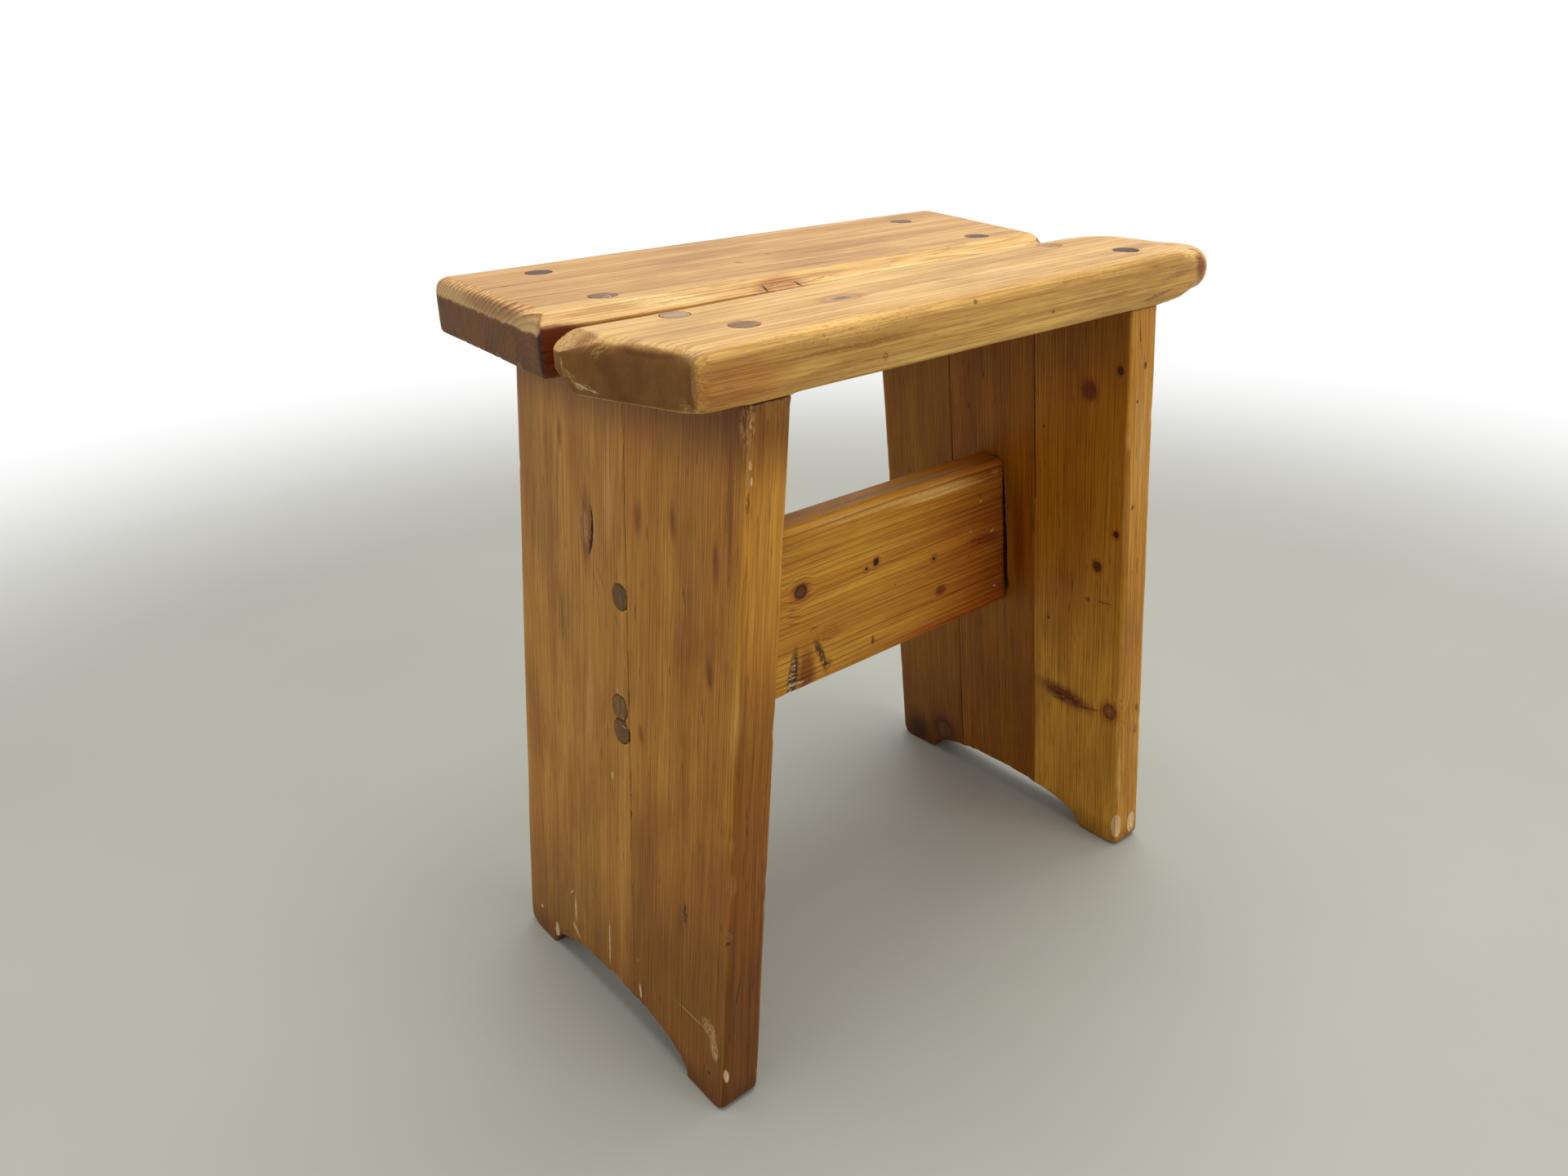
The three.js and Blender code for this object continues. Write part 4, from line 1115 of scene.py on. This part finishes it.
STRETCHER_KNOTS = [
    Knot((981, 725), radius=4.2, heart=(122, 72, 32), rim=(46, 24, 10), longer=1.1, soft=0.25),
    Knot((1073, 688), radius=2.3, heart=(52, 28, 14), rim=(36, 20, 10), longer=0.9),
    Knot((1061, 697), radius=1.3, heart=(60, 32, 16), rim=(200, 150, 84)),
    Knot((1144, 684), radius=2.0, heart=(56, 30, 14), rim=(190, 138, 74), longer=0.9),
    Knot((1152, 723), radius=2.2, heart=(142, 70, 22), rim=(124, 58, 18), longer=1.6, soft=0.6),
]
STRETCHER_MARKS = [
    Spot((1187, 681), 0.9, 0.9, DARK, 0.9),
    Spot((1096, 716), 0.8, 0.8, DARK, 0.9),
    Line((1069, 776), (1069, 790), 2.2, DARK, torn=0.3),
    Line((1069, 779), (1069, 787), 0.9, RED, 0.9),
    Spot((988, 824), 11, 26, (162, 116, 70), 0.9, soft=0.7, stain=True),
    Spot((971, 834), 5.4, 28, (58, 34, 16), 0.95, -8, soft=0.5, torn=0.12, depth=0.7),
    Spot((970, 832), 3.0, 18, (244, 208, 156), 0.9, -8, soft=0.3, torn=0.62),
    Line((994, 778), (1011, 834), 4.2, (62, 34, 16), 0.9, soft=0.6, bend=2.0, torn=0.25, depth=0.5),
    Spot((1014, 812), 5, 4, DARK, 0.85, 20, soft=0.5, torn=0.4),
    Line((990, 776), (1004, 768), 0.8, BROWN, 0.7, bend=1.4, torn=0.2),
    Line((1004, 786), (1022, 782), 0.8, BROWN, 0.6, bend=1.2, torn=0.2),
    Line((958, 845), (990, 832), 1.7, CREAM, 0.85, torn=0.45),
    Line((958, 840), (992, 828), 1.2, DARK, torn=0.4),
    Line((962, 749), (982, 746), 1.0, BROWN, 0.6, torn=0.3),
    Line((960, 757), (984, 755), 1.0, BROWN, 0.6, torn=0.3),
    Line((962, 766), (980, 763), 0.9, BROWN, 0.5, torn=0.3),
    Line((990, 790), (1040, 762), 9, (170, 116, 66), 0.5, soft=0.8, torn=0.4, stain=True),
    Line((1199, 603), (1203, 612), 1.0, RED, 0.9, depth=0.4),
    Line((1203, 610), (1200, 616), 0.6, CREAM, 0.7),
    Line((1187, 648), (1191, 653), 0.8, PALE),
    Line((1212, 653), (1219, 645), 0.6, CREAM),
    Line((1216, 716), (1220, 718), 0.9, CREAM, torn=0.2),
    Line((962, 656), (1120, 608), 6, (238, 186, 96), 0.65, soft=0.8, torn=0.1),
    Line((1060, 628), (1224, 580), 6.5, (248, 202, 118), 0.75, soft=0.8, torn=0.1),
    Spot((1219, 578), 6, 4, PALE, 0.6, soft=0.8, torn=0.2),
    Line((964, 634), (1216, 563), 6, (160, 134, 108), 0.6, soft=0.6, torn=0.15),
    Line((1180, 664), (1228, 656), 6, (190, 100, 46), 0.7, soft=0.7, torn=0.3, stain=True),
    Line((1060, 800), (1226, 736), 8, (206, 120, 56), 0.6, soft=0.8, stain=True),
]


def stretcher():
    right_end = DirtAndShade(clean=-20, darkest=150, share=0.9, colour=(178, 110, 52))
    grain = Grain(pith=(-330, -40), spacing=4.2, early=(224, 166, 58), late=(104, 54, 12), seed=8,
                  late_share=0.95, thin=5.0, sway=7, warm=(214, 170, 112), patina=0.45, edge=(236, 186, 104),
                  streaks=0.35, dashes=0.2, dirt_and_shade=[right_end])
    return Wood(["stretcher"], stretcher_frame(), [grain], "stretcher", STRETCHER_KNOTS, STRETCHER_MARKS)


KNOT_DEPTH = 14  # mm that a knot reaches into the wood
SPARE_KNOTS = 2  # on the hidden side of each piece
SPARE_RADII = (3, 7)  # mm
SPARE_LONGER = 1.3
SPARE_SHARES = (0.12, 0.88)  # of the piece's length and width, between which they lie


def knots_of(wood, tree, seed):
    """The knots that the photograph shows and a few more on the hidden side, in mm in the piece's frame."""
    to_local = Matrix.Scale(1 / MM, 4) @ wood.place.inverted()
    found = []
    for look in wood.knots:
        middle = to_local @ seen_on(tree, look.pixel)[0]
        found.append((middle, (look.longer * look.radius, look.radius, KNOT_DEPTH), look))
    draw = np.random.default_rng(seed)
    low, high = whole_box(wood.nodes)
    corners = [to_local @ Vector(c) for c in itertools.product(*zip(low, high))]
    least = [min(c[i] for c in corners) for i in range(3)]
    most = [max(c[i] for c in corners) for i in range(3)]
    for _ in range(SPARE_KNOTS):
        radius = draw.uniform(*SPARE_RADII)
        share = draw.uniform(*SPARE_SHARES, 2)
        middle = [least[i] + share[i] * (most[i] - least[i]) for i in range(2)]
        sizes = (SPARE_LONGER * radius, radius, KNOT_DEPTH / 2)
        found.append((Vector((*middle, least[2])), sizes, Knot(None, radius)))
    return found


def make_wood(wood, seed):
    tree = surface(wood.nodes)
    grain_line = wood.place.to_3x3().col[0]
    marks = [placed(look, tree, grain_line) for look in wood.marks]
    knots = knots_of(wood, tree, seed)
    shaves = [(shave, seen_on(tree, shave.pixel)[0]) for shave in wood.shaves]
    for node, grain in zip(wood.nodes, wood.grains):
        own = surface([node])
        near = [mark for mark in marks if touches(mark, own)]
        joined = surface([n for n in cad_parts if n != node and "screw" not in n])
        piece = refine(node, wood.place, wood.wear, seed, near, shaves, joined)
        settle(piece, node, pine(node + "_pine", wood.place, grain, knots, near))


# Plugs and screws

PLUG_TONES = {
    "left_seat_plug_1": (78, 52, 26),
    "left_seat_plug_2": (146, 120, 92),
    "left_seat_plug_3": (190, 158, 128),
    "left_seat_plug_4": (157, 122, 79),
    "right_seat_plug_1": (118, 92, 68),
    "right_seat_plug_2": (104, 76, 50),
    "right_seat_plug_3": (196, 156, 108),
    "right_seat_plug_4": (68, 40, 16),
    "left_stretcher_plug_1": (124, 96, 44),
    "left_stretcher_plug_2": (140, 108, 54),
    "left_board_filler_plug": (134, 102, 50),
}
OTHER_PLUG_TONE = (120, 94, 56)
PLUG_MARKS = [
    Line((743, 361), (747, 366), 0.5, CREAM, 0.85, bend=0.9, torn=0.2),
    Spot((741, 363), 1.6, 1.2, CREAM, 0.7, torn=0.4),
    Line((750, 726), (762, 748), 0.35, DARK, 0.6, bend=0.8),
    Line((757, 728), (764, 744), 0.4, PALE, 0.4, torn=0.4),
    Line((759, 874), (766, 888), 0.5, CREAM, 0.7, bend=0.9, torn=0.35),
    Line((760, 887), (768, 892), 0.5, CREAM, 0.9, bend=-0.6),
    Line((1184, 288), (1196, 292), 0.6, DARK, 0.7, torn=0.3),
    Line((1374, 302), (1390, 306), 0.7, DARK, 0.6, torn=0.3),
]
PLUG_REACH = 11 * MM  # how far from a plug's middle its marks lie
PLUG_WEAR = Wear(voxel=0.5, rounding=0.9, hollow=0.25, nicks=3, nick_reach=(0.8, 2.0), nick_depth=(0.2, 0.5))
PLUG_LATE_SHARE = 0.6  # of its tone, in its growth lines
PLUG_EDGE_SHARE = 0.7  # of its tone, along its worn edge
PLUG_GRAIN = {"pith": (-30, 12), "spacing": 1.6, "sway": 2, "end": (255, 255, 255), "streaks": 0.6}
FIRST_PLUG_SEED = 40
GRAIN_SEEDS = 17  # how many different grains the plugs have at most


def make_plugs():
    woods = surface([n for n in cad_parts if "plug" not in n and "screw" not in n])
    plugs = sorted(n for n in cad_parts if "plug" in n)
    up = Vector((0, 0, 1))
    tree = surface(plugs)
    marks = [placed(look, tree, up) for look in PLUG_MARKS]
    for node in plugs:
        low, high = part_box(node)
        middle = (low + high) / 2
        along = (1, 0, 0) if "seat" in node else (0, 0, 1)
        place = piece_frame(middle, along, (0, 1, 0))
        own = [mark for mark in marks if (mark.place - middle).length < PLUG_REACH]
        seed = FIRST_PLUG_SEED + sum(map(ord, node))
        piece = refine(node, place, PLUG_WEAR, seed, joined=woods)
        tone = PLUG_TONES.get(node, OTHER_PLUG_TONE)
        late = [PLUG_LATE_SHARE * c for c in tone]
        edge = [PLUG_EDGE_SHARE * c for c in tone]
        grain = Grain(early=tone, late=late, edge=edge, seed=seed % GRAIN_SEEDS, **PLUG_GRAIN)
        settle(piece, node, pine(node + "_pine", place, grain, marks=own))


def make_screws():
    material = steel()
    for node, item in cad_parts.items():
        if "screw" in node:
            item.data.materials.clear()
            item.data.materials.append(material)


# Stage and light, in metres and watts

FLOOR_REACH = 5.0
FADE_START = 0.75  # from the stool's middle, where the floor fades into the white behind it
FADE_END = 1.7
CLOUD_SIZES = (0.25, 0.25, 0.25)
FLOOR_TONES = ((168, 168, 158), (178, 178, 168))
FLOOR_ROUGHNESS = 0.6
WHITE = (1, 1, 1, 1)
AMBIENT_COLOUR = (1.0, 0.98, 0.95, 1)
AMBIENT = 0.36


def add_stage():
    mesh = bpy.data.meshes.new("floor")
    corners = [(x * FLOOR_REACH, y * FLOOR_REACH, 0) for x, y in ((-1, -1), (1, -1), (1, 1), (-1, 1))]
    mesh.from_pydata(corners, [], [(0, 1, 2, 3)])
    floor = bpy.data.objects.new("floor", mesh)
    bpy.context.scene.collection.objects.link(floor)
    g = new_finish("floor_paint")
    place = g.node("TexCoord").outputs["Object"]
    cloud = g.noise(place, CLOUD_SIZES, detail=4)
    g.put(g.blend(cloud, *(colour(*tone) for tone in FLOOR_TONES)), g.shader.inputs["Base Color"])
    g.put(FLOOR_ROUGHNESS, g.shader.inputs["Roughness"])
    far = g.step(g.vector("LENGTH", place), FADE_START, FADE_END)
    white = g.node("Emission", {"Color": WHITE, "Strength": 1.0}).outputs[0]
    mixed = g.node("MixShader", {0: g.times(far, g.seen()), 1: g.shader.outputs[0], 2: white})
    g.put(mixed.outputs[0], g.output.inputs["Surface"])
    mesh.materials.append(g.owner)


def add_world():
    """Soft light from all round, and plain white for what is seen of it."""
    world = bpy.data.worlds.new("studio")
    bpy.context.scene.world = world
    g = Graph(world, "OutputWorld")
    ambient = g.node("Background", {"Color": AMBIENT_COLOUR, "Strength": AMBIENT}).outputs[0]
    white = g.node("Background", {"Color": WHITE}).outputs[0]
    mixed = g.node("MixShader", {0: g.seen(), 1: ambient, 2: white})
    g.put(mixed.outputs[0], g.output.inputs["Surface"])


LAMPS = {
    "overhead": {"place": (0.3, 0.1, 2.3), "target": (0, 0, 0.3), "size": 1.8, "watts": 41},
    "front": {"place": (0.6, -2.2, 1.5), "target": (0, 0, 0.25), "size": 1.6, "watts": 22},
    "left": {"place": (-2.4, 0.2, 1.3), "target": (0, 0, 0.25), "size": 1.6, "watts": 9},
}


def add_lamp(name, place, target, size, watts):
    lamp = bpy.data.lights.new(name, "AREA")
    lamp.shape = "SQUARE"
    lamp.size = size
    lamp.energy = watts
    holder = bpy.data.objects.new(name, lamp)
    holder.location = place
    holder.rotation_euler = (Vector(target) - Vector(place)).to_track_quat("-Z", "Y").to_euler()
    bpy.context.scene.collection.objects.link(holder)


def add_camera():
    right, down, forward = camera_axes()
    data = bpy.data.cameras.new("camera")
    data.sensor_fit = "HORIZONTAL"
    data.sensor_width = SENSOR_WIDTH
    data.lens = FOCAL_PIXELS / PHOTO_SIZE[0] * SENSOR_WIDTH
    camera = bpy.data.objects.new("camera", data)
    bpy.context.scene.collection.objects.link(camera)
    turn = Matrix((right, -down, -forward)).transposed().to_4x4()
    camera.matrix_world = Matrix.Translation(CAMERA_PLACE) @ turn
    bpy.context.scene.camera = camera


FIRST_WOOD_SEED = 20

for number, make in enumerate((rear_plank, front_plank, near_board, far_board, stretcher)):
    make_wood(make(), FIRST_WOOD_SEED + number)
make_plugs()
make_screws()
add_stage()
add_world()
for lamp_name, settings in LAMPS.items():
    add_lamp(lamp_name, **settings)
add_camera()
bpy.context.scene.view_settings.view_transform = "Standard"
